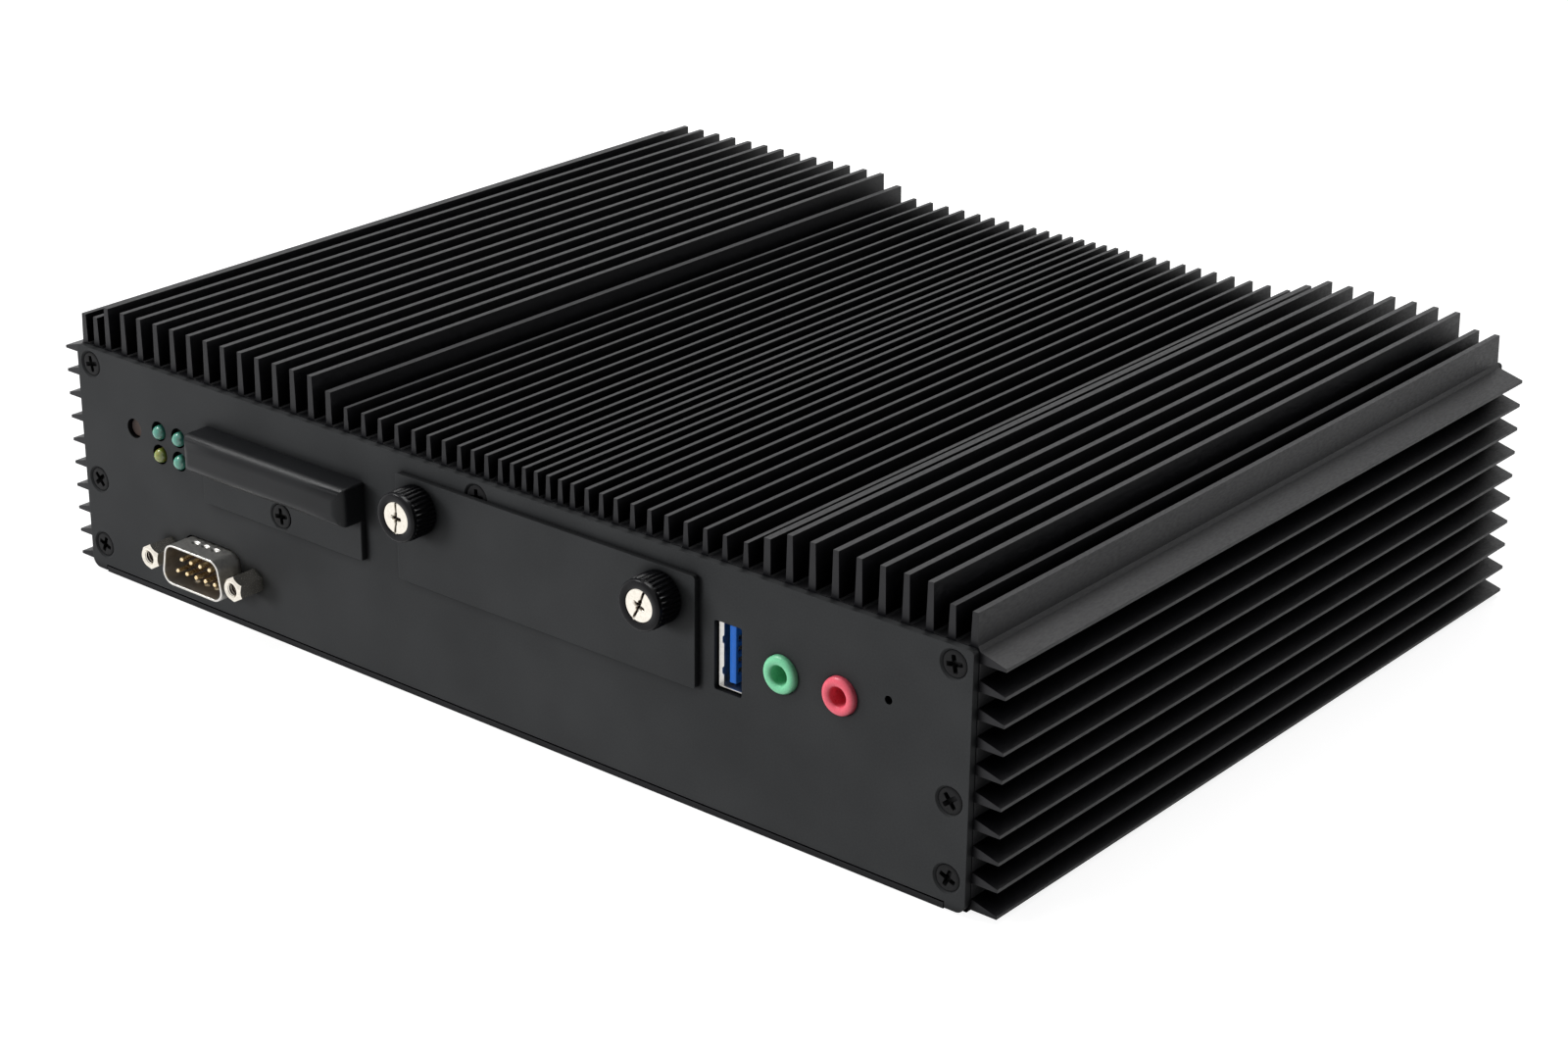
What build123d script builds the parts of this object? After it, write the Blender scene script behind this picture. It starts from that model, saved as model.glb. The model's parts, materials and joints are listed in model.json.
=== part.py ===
from build123d import *
from math import cos, pi, sin
import os

# Fanless mini pc. X runs along the front, Y into the depth, Z up.
# The origin is the centre of the base tray's underside. All sizes are in millimetres.

# ---- overall form ----
panel_width = 227.5
panel_height = 49.6
panel_thickness = 1.5
body_length = 179.4
y_front = -body_length / 2
y_back = body_length / 2
y_face = y_front - panel_thickness
y_rear_face = y_back + panel_thickness

# ---- sheet panels: a tab at either end of the lower edge, the tray's floor between them ----
panel_bottom = 0.25
panel_lower_r = 2.0
panel_upper_r = 0.7
tab_width = 4.3
tab_gap = 0.2
floor_gap = 0.3

# ---- extruded walls shared by the top cover and the base tray ----
wall_proud = 0.15
wall = 3.0
boss_depth = 4.6
boss_half = 2.4
floor_thickness = 1.2
floor_bevel = 0.8
roof_rise = 0.1
roof_thickness = 2.5
root_x = panel_width / 2 + wall_proud
inner_x = root_x - wall
boss_x = inner_x - boss_depth
roof_top = panel_height + roof_rise
roof_under = roof_top - roof_thickness

# ---- side fins: level underside, upper side drooping outwards to a thin tip ----
side_fin_count = 10
tray_fin_count = 3
cover_fin_count = side_fin_count - tray_fin_count
side_fin_reach = 5.4
side_fin_tip = 0.6
side_fin_droop = 1.5
lowest_fin_bottom = 0.85
highest_fin_drop = 2.55
side_fin_pitch = (panel_height - highest_fin_drop - lowest_fin_bottom) / (side_fin_count - 1)

# ---- joint line between cover and tray ----
seam_drop = 1.5

# ---- top fins ----
core_x = 14.0
fin_rings = [3.0] * 3 + [3.5] * 3 + [4.0] * 3 + [4.5] * 3 + [4.75] * 2
outer_fin_pitch = 5.0
edge_fin_inset = 1.05
edge_fin_room = 2.0
low_fin_height = 5.0
step_fin_height = 7.1
tall_fin_height = 9.1
edge_fin_height = 6.35
low_fin_tip_half = 0.42
low_fin_root_half = 0.66
step_fin_tip_half = 0.68
tall_fin_tip_half = 0.58
tall_fin_root_half = 0.8
fin_root_chamfer = 0.3

# ---- M3 screws: countersunk in the panels, pan heads on the boards ----
screw_inset = 4.0
cover_screw_drop = 3.5
cover_screw_z_high = panel_height - cover_screw_drop
cover_screw_z_low = 20.7
tray_screw_z = 6.0
screw_shank_r = 1.25
screw_hole_r = 1.3
screw_clear_r = 1.65
screw_head_r = 2.7
screw_sunk = 0.05
screw_sink_r = 2.95
screw_length = 8.0
cross_length = 2.9
cross_width = 0.6
cross_depth = 1.1
pan_head_r = 2.6
pan_head_height = 1.7
pan_shank = 5.0

# ---- status lights, power button and reset pinhole ----
light_hole_r = 2.1
light_r = 1.5
light_proud = 1.2
light_length = 9.2
light_drop = 0.3
light_x = -89.6
light_pitch_x = 5.9
light_z = 36.2
light_pitch_z = 5.0
light_rows = 2
light_fit = 0.05
holder_margin = 1.6
holder_start = 1.4
holder_depth = 4.6
power_x = -97.2
power_z = 35.2
power_play = 0.2
power_recess = 0.9
power_cap_depth = 3.6
power_stem_r = 1.2
power_stem = 4.0
power_travel = 0.8
switch_half = 2.2
switch_depth = 6.0
switch_margin = 0.2
stem_fit = 0.07
pin_hole_r = 0.8
reset_x = 96.5
reset_z = 35.4
reset_recess = 0.8
reset_cap_r = 1.4
reset_cap_depth = 1.4
reset_stem_r = 1.0
reset_stem = 2.0
reset_travel = 0.5
reset_switch_half = 3.0
reset_switch_depth = 3.6

# ---- card cover and the socket behind it ----
card_x = -52.6
card_width = 45.4
card_box_bottom = 33.3
card_box_top = 41.3
card_box_depth = 6.8
card_wall = 1.0
card_flange_bottom = 25.3
card_flange = 1.3
card_screw_z = 28.4
card_edge_r = 1.2
card_socket_play = 0.6
card_socket_depth = 20.0
card_socket_foot = 7.0
card_mouth_height = 3.6
card_mouth_inset = 1.5
card_mouth_wall = 3.0
card_slot_margin = 0.2

# ---- serial port, nine pins ----
serial_x = -75.3
serial_z = 11.3
jack_spacing = 24.99
serial_half_wide = 9.35
serial_half_narrow = 7.75
serial_half_height = 4.45
serial_corner_r = 2.6
serial_wall = 0.45
serial_reach = 5.9
serial_recess = 5.4
serial_hole_gap = 0.3
serial_flange_end = 2.9
serial_flange_width = jack_spacing + 2 * serial_flange_end
serial_flange_height = 12.5
serial_flange_corner_r = 1.0
serial_flange = 0.5
insulator_fit = 0.03
insulator_depth = 6.0
pin_pitch = 2.77
pin_row = 1.42
serial_pin_r = 0.5
serial_pin_fit = 0.02
serial_pin_recess = 0.9
serial_pin_tail = 9.0
serial_pin_chamfer = 0.22
jack_hex = 4.76
jack_reach = 6.4
jack_bore_r = 1.15
jack_bore_floor = 0.4
jack_stud_r = 1.4
jack_stud = 5.0
jack_fit = 0.15

# ---- upright USB port ----
usb_x = 61.1
usb_z = 32.15
usb_width = 5.8
usb_height = 12.9
usb_wall = 0.3
usb_corner_r = 0.45
usb_recess = 0.9
usb_depth = 14.0
usb_block_depth = 3.0
usb_block_play = 0.05
tongue_thickness = 1.9
tongue_height = 11.0
tongue_shift = 0.3
tongue_recess = 1.0

# ---- audio jacks ----
audio_x = 73.2
audio_pitch = 13.0
audio_z = 33.0
audio_ring_r = 3.6
audio_ring_edge_r = 0.9
audio_ring_fit = 0.1
audio_ring_seat = 1.5
audio_bore_r = 1.8
audio_reach = 1.2
audio_body_width = 12.0
audio_body_depth = 10.0

# ---- drive tray: door, sled and the 2.5 inch drive ----
door_left = -20.0
door_right = 54.4
door_bottom = 24.6
door_top = 46.3
door_thickness = 1.2
door_corner_r = 0.6
drive_width = 69.85
drive_length = 100.0
drive_height = 9.5
drive_corner = 1.5
drive_front_gap = 1.5
drive_screw_rise = 3.0
drive_screw_front = 14.0
drive_screw_pitch = 76.6
drive_screw_bite = 2.4
drive_screw_hole = 3.0
drive_screw_head_r = 2.25
drive_screw_cap = 0.2
drive_plug_left = -28.0
drive_plug_width = 22.0
drive_plug_height = 4.5
drive_plug_rise = 2.0
drive_plug_depth = 4.0
plug_margin_x = 0.8
plug_margin_z = 0.45
plug_gap = 1.0
sled_wall = 1.0
sled_gap = 0.4
sled_lip = 8.0
sled_tail = 3.0
sled_vent_inset = 12.0
sled_wall_rise = 0.3
bay_gap = 0.3
bay_gap_top = 0.8
bay_gap_bottom = 0.2

# ---- drive cage hung from the roof ----
cage_wall = 1.0
cage_brim = 8.0
cage_tail = 6.5
cage_rise = 0.4
cage_back_rise = 2.0
sled_play = 0.3
connector_back = 4.0
connector_side = 3.8
connector_rise = 7.4

# ---- derived places of the drive tray ----
tray_x = (door_left + door_right) / 2
cage_floor = door_bottom + cage_rise
sled_floor = cage_floor + cage_wall + sled_play
drive_floor = sled_floor + sled_wall
drive_top = drive_floor + drive_height
drive_front = y_face + sled_wall + drive_front_gap
drive_end = drive_front + drive_length
sled_half = drive_width / 2 + sled_gap + sled_wall
sled_end = drive_end + sled_tail
cage_half = sled_half + sled_play
cage_end = sled_end + cage_tail
drive_screw_z = drive_floor + drive_screw_rise

# ---- thumbscrews ----
thumb_inset_left = 5.8
thumb_inset_right = 8.0
thumb_z = 40.4
knob_r = 5.0
knob_length = 6.0
knob_collar = 1.1
knob_collar_drop = 0.15
knob_collar_edge_r = 0.6
knurl_count = 32
knurl_depth = 0.35
insert_r = 3.25
insert_depth = 2.2
insert_sunk = 0.15
insert_slot_width = 0.9
insert_slot_depth = 1.1
insert_cross_length = 3.6
insert_cross_width = 0.8
thumb_shank_r = 1.5
thumb_fit = 0.05
thumb_door_fit = 0.2
spring_recess_r = 3.1
spring_recess = 3.2
spring_r = 2.35
spring_wire = 0.45
spring_turns = 3
washer_thickness = 0.4
washer_fit = 0.1
knob_face = y_face - door_thickness - knob_length
washer_seat = y_face - door_thickness - spring_recess

# ---- pressed nuts ----
nut_r = 2.7
nut_length = 3.5
card_nut_r = 2.8
card_nut_length = 5.5
card_nut_gap = 0.4
bracket_spacing = 100.0
bracket_hole_r = 1.65
bracket_nut_r = 4.0
bracket_nut_height = 3.0

# ---- boards ----
board_thickness = 1.6
post_r = 2.6
post_hole_depth = 6.5
post_hole_floor = 0.6
small_board_gap = 1.0
small_board_depth = 30.0
small_board_inset = 1.0
small_post_outer = 10.4
small_post_inner = 4.0
small_post_back = 5.0
small_board_rise = 0.4
status_board_end = 1.0
side_board_gap = 3.6
main_board_width = 170.0
main_board_gap = 3.7
main_board_z = 6.2
main_board_edge = 1.2
standoff_inset = 6.5
standoff_back = 24.0
status_board_z = cover_screw_z_low + boss_half + small_board_rise
side_board_z = status_board_z
small_board_front = y_front + small_board_gap
small_board_back = small_board_front + small_board_depth
main_board_front = small_board_back + main_board_gap
main_board_back = y_back - main_board_edge
main_board_top = main_board_z + board_thickness

# ---- processor and its heat path to the roof ----
processor_size = 37.5
processor_base = 1.2
processor_height = 3.0
lid_size = 30.0
block_size = 44.0
block_foot = 32.0
block_foot_height = 4.0
block_gap = 3.2
pad_inset = 1.0
pad_thickness = 0.5
land_depth = 4.4
processor_y = cage_end + block_gap + block_size / 2

# ---- memory ----
memory_x = 8.0
memory_inset = 17.0
memory_y = main_board_front + memory_inset
memory_width = 67.4
memory_depth = 29.9
memory_thickness = 1.2
memory_rise = 2.45
memory_edge = 0.1
memory_seat = 0.9
memory_socket_depth = 6.0
memory_socket_height = 5.2
memory_slot_play = 0.05
memory_arm = 2.2
memory_arm_length = 23.0
memory_arm_gap = 0.3
chip_count = 4
chip_pitch = 15.0
chip_width = 10.0
chip_depth = 12.0
chip_height = 1.05
chip_back = 9.0

# ---- coin cell ----
cell_x = -62.0
cell_inset = 95.0
cell_y = main_board_front + cell_inset
cell_r = 10.0
cell_height = 3.2
cell_play = 0.1
holder_r = 12.0
holder_height = 4.2
holder_floor = 0.8

# ---- rear ports ----
port_reach = 0.3
cutout_gap = 0.25
lan_x = -62.0
lan_pitch = 20.0
lan_width = 16.0
lan_height = 13.5
lan_depth = 21.0
lan_mouth_width = 11.8
lan_mouth_height = 8.2
lan_mouth_depth = 13.0
lan_mouth_rise = 4.2
lan_latch_width = 6.2
lan_latch_height = 2.4
lan_latch_rise = 2.0
stack_x = -20.0
stack_width = 13.1
stack_port_height = 5.7
stack_gap = 1.9
stack_depth = 17.0
stack_mouth_depth = 12.0
stack_height = 2 * stack_port_height + stack_gap
rear_tongue_recess = 1.0
video_x = 36.0
video_width = 15.0
video_height = 5.8
video_wall = 0.4
video_back = 0.6
video_depth = 11.0
video_corner = 1.7
video_shoulder = 0.25
video_tongue_width = 11.0
video_tongue_thickness = 1.2
inlet_x = 92.0
inlet_z = 16.0
inlet_r = 4.0
inlet_fit = 0.1
inlet_bore_r = 3.15
inlet_pin_r = 1.25
inlet_pin_recess = 1.0
inlet_bore_depth = 9.5
inlet_reach = 3.4
inlet_collar = 1.6
inlet_collar_depth = 11.0
inlet_nut_flats = 11.0
inlet_nut_height = 2.2
port_end = y_rear_face + port_reach

# ---- how far a cutting tool runs past the faces that it opens ----
past = 1.0


# ---- small helpers ----
def section(profile, y0, y1):
    """A profile drawn in X and Z, extruded from y0 to y1."""
    return extrude(Plane.XZ.offset(-y0) * profile, amount=-(y1 - y0))


def at(x, z, shape):
    return Pos(x, z) * shape


def block(x0, x1, y0, y1, z0, z1):
    return Pos((x0 + x1) / 2, (y0 + y1) / 2, (z0 + z1) / 2) * Box(x1 - x0, y1 - y0, z1 - z0)


def square_block(x, y, size, z0, z1):
    return block(x - size / 2, x + size / 2, y - size / 2, y + size / 2, z0, z1)


def rod(x, z, r, y0, y1):
    return section(at(x, z, Circle(r)), y0, y1)


def upright(x, y, r, z0, z1):
    return Pos(x, y, (z0 + z1) / 2) * Cylinder(r, z1 - z0)


def crosswise(x, y, z, r, length):
    return Pos(x, y, z) * Rot(0, 90, 0) * Cylinder(r, length)


def outline(points):
    return make_face(Polyline(*points, close=True))


def mirrored(points):
    return [(-x, z) for x, z in reversed(points)]


def group(solids):
    return Compound(children=list(solids))


# ---- places that several pieces share ----
def cover_screw_places():
    x = panel_width / 2 - screw_inset
    high = [(-x, cover_screw_z_high), (0, cover_screw_z_high), (x, cover_screw_z_high)]
    return high + [(-x, cover_screw_z_low), (x, cover_screw_z_low)]


def tray_screw_places():
    x = panel_width / 2 - screw_inset
    return [(-x, tray_screw_z), (x, tray_screw_z)]


def panel_screw_places():
    return cover_screw_places() + tray_screw_places()


def bracket_places():
    half = bracket_spacing / 2
    return [(x, y) for x in (-half, half) for y in (-half, half)]


def thumb_places():
    return [door_left + thumb_inset_left, door_right - thumb_inset_right]


def light_places():
    rows = range(light_rows)
    return [(light_x + i * light_pitch_x, light_z - j * light_pitch_z) for j in rows for i in (0, 1)]


def jack_places():
    return [serial_x - jack_spacing / 2, serial_x + jack_spacing / 2]


def audio_places():
    return [audio_x, audio_x + audio_pitch]


# ---- extrusions ----
def side_fin(k):
    """Right side fin k, counted from the top: root and tip of its underside, then its upper side."""
    bottom = lowest_fin_bottom + (side_fin_count - k) * side_fin_pitch
    top = bottom + side_fin_tip
    return [
        (root_x, bottom),
        (root_x + side_fin_reach, bottom),
        (root_x + side_fin_reach, top),
        (root_x, top + side_fin_droop),
    ]


def seam():
    """Level joint line of cover and tray on the wall below the cover's lowest fin."""
    level = side_fin(cover_fin_count)[0][1] - seam_drop
    return [(inner_x, level), (root_x, level)]


def fin_places():
    """X and tip height of every top fin, from left to right.

    The pitch is finest over the processor and widens ring by ring to either side, the last
    tall fin stops short of the edge, and two lower fins finish each side."""
    reach = 0.0
    offsets = []
    for gap in fin_rings:
        reach += gap
        offsets.append(reach)
    places = [(core_x, low_fin_height)]
    for i, offset in enumerate(offsets):
        height = low_fin_height if i < len(offsets) - 1 else step_fin_height
        places.append((core_x - offset, height))
        places.append((core_x + offset, height))
    edge_x = panel_width / 2 - edge_fin_inset
    for side in (-1, 1):
        x = core_x + side * offsets[-1]
        while edge_x - side * x > 2 * outer_fin_pitch + edge_fin_room:
            x += side * outer_fin_pitch
            places.append((x, tall_fin_height))
        places.append(((x + side * edge_x) / 2, edge_fin_height))
        places.append((side * edge_x, edge_fin_height))
    return sorted(places)


def fin_halves(height):
    """Half thickness at tip and root: the outer fins are thicker than the low ones."""
    if height == low_fin_height:
        return low_fin_tip_half, low_fin_root_half
    if height == step_fin_height:
        return step_fin_tip_half, tall_fin_root_half
    return tall_fin_tip_half, tall_fin_root_half


def fin_points(x, height):
    """One tapered fin, from its right foot over the tip to its left foot."""
    tip = panel_height + height
    tip_half, root_half = fin_halves(height)
    right = [
        (x + root_half + fin_root_chamfer, roof_top),
        (x + root_half, roof_top + fin_root_chamfer),
        (x + tip_half, tip),
    ]
    left = [(2 * x - px, pz) for px, pz in reversed(right)]
    return right + left


def cover_inside():
    """Inner line of the cover from the right seam to the left: screw ribs and the heat land."""
    ribs = [
        (inner_x, cover_screw_z_low - boss_half),
        (boss_x, cover_screw_z_low - boss_half),
        (boss_x, cover_screw_z_low + boss_half),
        (inner_x, cover_screw_z_low + boss_half),
        (inner_x, cover_screw_z_high - boss_half),
        (boss_x, cover_screw_z_high - boss_half),
        (boss_x, roof_under),
    ]
    half = block_size / 2
    land = [
        (core_x + half, roof_under),
        (core_x + half, roof_under - land_depth),
        (core_x - half, roof_under - land_depth),
        (core_x - half, roof_under),
    ]
    return ribs + land + mirrored(ribs)


def panel_screw_holes(places):
    holes = []
    for x, z in places:
        holes.append(rod(x, z, screw_hole_r, y_front, y_front + screw_length))
        holes.append(rod(x, z, screw_hole_r, y_back - screw_length, y_back))
    return holes


def top_cover():
    fins = fin_places()
    right_wall = seam()
    for k in range(cover_fin_count, 0, -1):
        right_wall += side_fin(k)
    crest = fin_points(*fins[-1])[1:]
    for x, height in reversed(fins[1:-1]):
        crest += fin_points(x, height)
    crest += fin_points(*fins[0])[:-1]
    profile = right_wall + crest + mirrored(right_wall) + cover_inside()[::-1]
    body = section(outline(profile), y_front, y_back)
    for hole in panel_screw_holes(cover_screw_places()):
        body -= hole
    return body


def base_tray():
    """Floor and low walls with the last side fins; the floor runs out under both panels."""
    right = [(root_x - floor_bevel, 0)]
    for k in range(side_fin_count, cover_fin_count, -1):
        right += side_fin(k)
    right += seam()[::-1]
    right += [
        (inner_x, tray_screw_z + boss_half),
        (boss_x, tray_screw_z + boss_half),
        (boss_x, floor_thickness),
    ]
    body = section(outline(right + mirrored(right)), y_front, y_back)
    half = panel_width / 2 - tab_width - tab_gap
    body += block(-half, half, y_face, y_rear_face, 0, floor_thickness)
    for hole in panel_screw_holes(tray_screw_places()):
        body -= hole
    for x, y in bracket_places():
        body -= upright(x, y, bracket_hole_r, -past, floor_thickness + past)
    return body


# ---- fasteners ----
def countersink(x, z, y, out):
    """Clearance hole with a cone at the face y; out is -1 towards the front, +1 towards the rear."""
    depth = screw_sink_r - screw_clear_r
    cone = Pos(x, y - out * depth / 2, z) * Rot(90 * out, 0, 0) * Cone(screw_sink_r, screw_clear_r, depth)
    return cone + rod(x, z, screw_clear_r, y - panel_thickness - past, y + panel_thickness + past)


def flat_screw(x, z, y, out):
    """Countersunk screw whose head lies just under the face y."""
    head = screw_head_r - screw_shank_r
    top = y - out * screw_sunk
    cone = Pos(x, top - out * head / 2, z) * Rot(90 * out, 0, 0) * Cone(screw_head_r, screw_shank_r, head)
    ends = sorted([top - out * head, top - out * screw_length])
    screw = cone + rod(x, z, screw_shank_r, ends[0], ends[1])
    slot = sorted([top - out * cross_depth, top + out * past])
    for width, height in ((cross_length, cross_width), (cross_width, cross_length)):
        screw -= section(at(x, z, Rectangle(width, height)), slot[0], slot[1])
    return screw


def pan_screw(x, y, z):
    """Pan head screw standing on the level z, shank down."""
    return upright(x, y, pan_head_r, z, z + pan_head_height) + upright(x, y, screw_shank_r, z - pan_shank, z)


# ---- panels ----
def panel_plate(y0, y1):
    """Sheet with a tab at either end of its lower edge; the tray's floor shows between the tabs."""
    plate = at(0, (panel_height + panel_bottom) / 2, Rectangle(panel_width, panel_height - panel_bottom))
    plate = fillet(plate.vertices().sort_by(Axis.Y)[:2], panel_lower_r)
    plate = fillet(plate.vertices().sort_by(Axis.Y)[-2:], panel_upper_r)
    notch_top = floor_thickness + floor_gap
    notch = Rectangle(panel_width - 2 * tab_width, notch_top + past)
    plate -= at(0, (notch_top - past) / 2, notch)
    return section(plate, y0, y1)


def front_cut(profile):
    return section(profile, y_face - past, y_front + past)


def front_hole(x, z, r):
    return front_cut(at(x, z, Circle(r)))


def serial_outline(grow):
    """The D shape of the serial shell, wide side down, grown by a margin."""
    wide = serial_half_wide + grow
    narrow = serial_half_narrow + grow
    half = serial_half_height + grow
    shape = outline([(-wide, -half), (wide, -half), (narrow, half), (-narrow, half)])
    return at(serial_x, serial_z, fillet(shape.vertices(), serial_corner_r + grow))


def bay_opening():
    bottom = cage_floor + cage_wall - bay_gap_bottom
    top = drive_top + bay_gap_top
    return at(tray_x, (bottom + top) / 2, Rectangle(2 * (sled_half + bay_gap), top - bottom))


def card_middle():
    return (card_box_bottom + card_box_top) / 2


def card_socket_half():
    return card_width / 2 - card_wall - card_socket_play


def card_opening():
    height = card_box_top - card_box_bottom - 2 * (card_wall + card_socket_play)
    margin = 2 * card_slot_margin
    return at(card_x, card_middle(), Rectangle(2 * card_socket_half() + margin, height + margin))


def front_panel():
    panel = panel_plate(y_face, y_front)
    usb_hole = RectangleRounded(usb_width + 2 * cutout_gap, usb_height + 2 * cutout_gap, usb_corner_r)
    cut = [front_cut(serial_outline(serial_hole_gap)), front_cut(at(usb_x, usb_z, usb_hole))]
    cut += [front_cut(bay_opening()), front_cut(card_opening())]
    cut += [front_hole(x, serial_z, jack_stud_r + jack_fit) for x in jack_places()]
    cut += [front_hole(x, z + light_drop, light_hole_r) for x, z in light_places()]
    cut += [front_hole(power_x, power_z, light_hole_r), front_hole(reset_x, reset_z, pin_hole_r)]
    cut += [front_hole(x, audio_z, audio_ring_r + audio_ring_fit) for x in audio_places()]
    cut += [front_hole(x, thumb_z, thumb_shank_r + thumb_fit) for x in thumb_places()]
    cut += [front_hole(card_x, card_screw_z, screw_clear_r)]
    cut += [countersink(x, z, y_face, -1) for x, z in panel_screw_places()]
    for hole in cut:
        panel -= hole
    return panel


def rear_panel():
    panel = panel_plate(y_back, y_rear_face)
    cut = [countersink(x, z, y_rear_face, 1) for x, z in panel_screw_places()]
    for x, z, width, height in rear_ports():
        hole = Rectangle(width + 2 * cutout_gap, height + 2 * cutout_gap)
        cut += [section(at(x, z, hole), y_back - past, y_rear_face + past)]
    cut += [rod(inlet_x, inlet_z, inlet_r + inlet_fit, y_back - past, y_rear_face + past)]
    for hole in cut:
        panel -= hole
    return panel


# ---- card slot ----
def card_cover():
    """Hollow box with rounded front edges, and a flange below it for the screw."""
    y_box = y_face - card_box_depth
    height = card_box_top - card_box_bottom
    shell = section(at(card_x, card_middle(), Rectangle(card_width, height)), y_box, y_face)
    shell = fillet(shell.faces().sort_by(Axis.Y)[0].edges(), card_edge_r)
    hollow = Rectangle(card_width - 2 * card_wall, height - 2 * card_wall)
    shell -= section(at(card_x, card_middle(), hollow), y_box + card_wall, y_face)
    flange_top = card_box_bottom + card_wall
    y_flange = y_face - card_flange
    half = card_width / 2
    shell += block(card_x - half, card_x + half, y_flange, y_face, card_flange_bottom, flange_top)
    return shell - countersink(card_x, card_screw_z, y_flange, -1)


def card_socket():
    """Slotted housing behind the panel; its foot stands on the board behind the cover screw's nut."""
    half = card_socket_half()
    top = card_box_top - card_wall - card_socket_play
    y1 = y_front + card_socket_depth
    bottom = card_screw_z + card_nut_r + card_nut_gap
    body = block(card_x - half, card_x + half, y_front, y1, bottom, top)
    foot = status_board_z + board_thickness
    body += block(card_x - half, card_x + half, y_front + card_socket_foot, y1, foot, bottom)
    mouth = at(card_x, card_middle(), Rectangle(2 * (half - card_mouth_inset), card_mouth_height))
    return body - section(mouth, y_front - past, y1 - card_mouth_wall)


# ---- serial port ----
def serial_shell():
    y_tip = y_face - serial_reach
    y_end = y_front + serial_flange
    flange = RectangleRounded(serial_flange_width, serial_flange_height, serial_flange_corner_r)
    shell = section(serial_outline(0), y_tip, y_front)
    shell += section(at(serial_x, serial_z, flange), y_front, y_end)
    shell -= section(serial_outline(-serial_wall), y_tip - past, y_end + past)
    for x in jack_places():
        shell -= rod(x, serial_z, jack_stud_r + jack_fit, y_front - past, y_end + past)
    return shell


def serial_pin_places():
    upper = [(serial_x + (i - 1.5) * pin_pitch, serial_z + pin_row) for i in range(4)]
    lower = [(serial_x + (i - 2) * pin_pitch, serial_z - pin_row) for i in range(5)]
    return upper + lower


def serial_insulator():
    y_tip = y_face - serial_reach + serial_recess
    y_end = y_front + insulator_depth
    body = section(serial_outline(-serial_wall - insulator_fit), y_tip, y_end)
    for x, z in serial_pin_places():
        body -= rod(x, z, serial_pin_r + serial_pin_fit, y_tip - past, y_end + past)
    return body


def serial_pins():
    pins = []
    for x, z in serial_pin_places():
        pin = rod(x, z, serial_pin_r, y_face - serial_reach + serial_pin_recess, y_front + serial_pin_tail)
        pins.append(chamfer(pin.edges().sort_by(Axis.Y)[0], serial_pin_chamfer))
    return group(pins)


def serial_jackscrews():
    """Hexagon standoffs with a threaded bore, each on a stud through the panel and the flange."""
    jacks = []
    y_tip = y_face - jack_reach
    for x in jack_places():
        hexagon = RegularPolygon(jack_hex / 2 / cos(pi / 6), 6)
        jack = section(at(x, serial_z, hexagon), y_tip, y_face)
        jack += rod(x, serial_z, jack_stud_r, y_face, y_front + jack_stud)
        jacks.append(jack - rod(x, serial_z, jack_bore_r, y_tip - past, y_face - jack_bore_floor))
    return group(jacks)


# ---- lights, buttons and their boards ----
def light(x, z):
    """A 3 mm light-emitting diode: a rod with a domed front."""
    y_tip = y_face - light_proud
    body = rod(x, z, light_r, y_tip + light_r, y_tip + light_length)
    return body + Pos(x, y_tip + light_r, z) * Sphere(light_r)


def light_holder():
    """Block that carries the lights above the status board."""
    margin = light_r + holder_margin
    right = light_x + light_pitch_x + margin
    y0 = y_front + holder_start
    y1 = y0 + holder_depth
    holder = block(light_x - margin, right, y0, y1, status_board_z + board_thickness, light_z + margin)
    for x, z in light_places():
        holder -= rod(x, z, light_r + light_fit, y0 - past, y1 + past)
    return holder


def power_stem_start():
    return y_face + power_recess + power_cap_depth


def power_button():
    cap_r = light_hole_r - power_play
    cap = rod(power_x, power_z, cap_r, y_face + power_recess, power_stem_start())
    return cap + rod(power_x, power_z, power_stem_r, power_stem_start(), power_stem_start() + power_stem)


def power_switch():
    """Switch body behind the button; the gap between them is the button's travel and a margin."""
    y0 = power_stem_start() + power_travel + switch_margin
    half = switch_half
    bottom = status_board_z + board_thickness
    body = block(power_x - half, power_x + half, y0, y0 + switch_depth, bottom, power_z + half)
    well = power_stem_start() + power_stem + power_travel
    return body - rod(power_x, power_z, power_stem_r + stem_fit, y0 - past, well)


def reset_stem_start():
    return y_front + reset_recess + reset_cap_depth


def reset_plunger():
    cap = rod(reset_x, reset_z, reset_cap_r, y_front + reset_recess, reset_stem_start())
    return cap + rod(reset_x, reset_z, reset_stem_r, reset_stem_start(), reset_stem_start() + reset_stem)


def reset_switch():
    y0 = reset_stem_start() + reset_travel + switch_margin
    half = reset_switch_half
    bottom = side_board_z + board_thickness
    body = block(reset_x - half, reset_x + half, y0, y0 + reset_switch_depth, bottom, reset_z + half)
    well = reset_stem_start() + reset_stem + reset_travel
    return body - rod(reset_x, reset_z, reset_stem_r + stem_fit, y0 - past, well)


# ---- small boards behind the front panel ----
def status_board_span():
    return small_board_inset - inner_x, card_x + card_socket_half() + status_board_end


def side_board_span():
    return tray_x + cage_half + cage_wall + side_board_gap, inner_x - small_board_inset


def post_places(span):
    """The outer post stands clear of the side wall's rib, the inner one near the board's end."""
    y = small_board_back - small_post_back
    if span[0] < 0:
        return [(small_post_outer - inner_x, y), (span[1] - small_post_inner, y)]
    return [(span[0] + small_post_inner, y), (inner_x - small_post_outer, y)]


def small_board(span, z):
    top = z + board_thickness
    board = block(span[0], span[1], small_board_front, small_board_back, z, top)
    for x, y in post_places(span):
        board -= upright(x, y, screw_clear_r, z - past, top + past)
    return board


def small_boards():
    """Span and underside of each small board."""
    return [(status_board_span(), status_board_z), (side_board_span(), side_board_z)]


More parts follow.
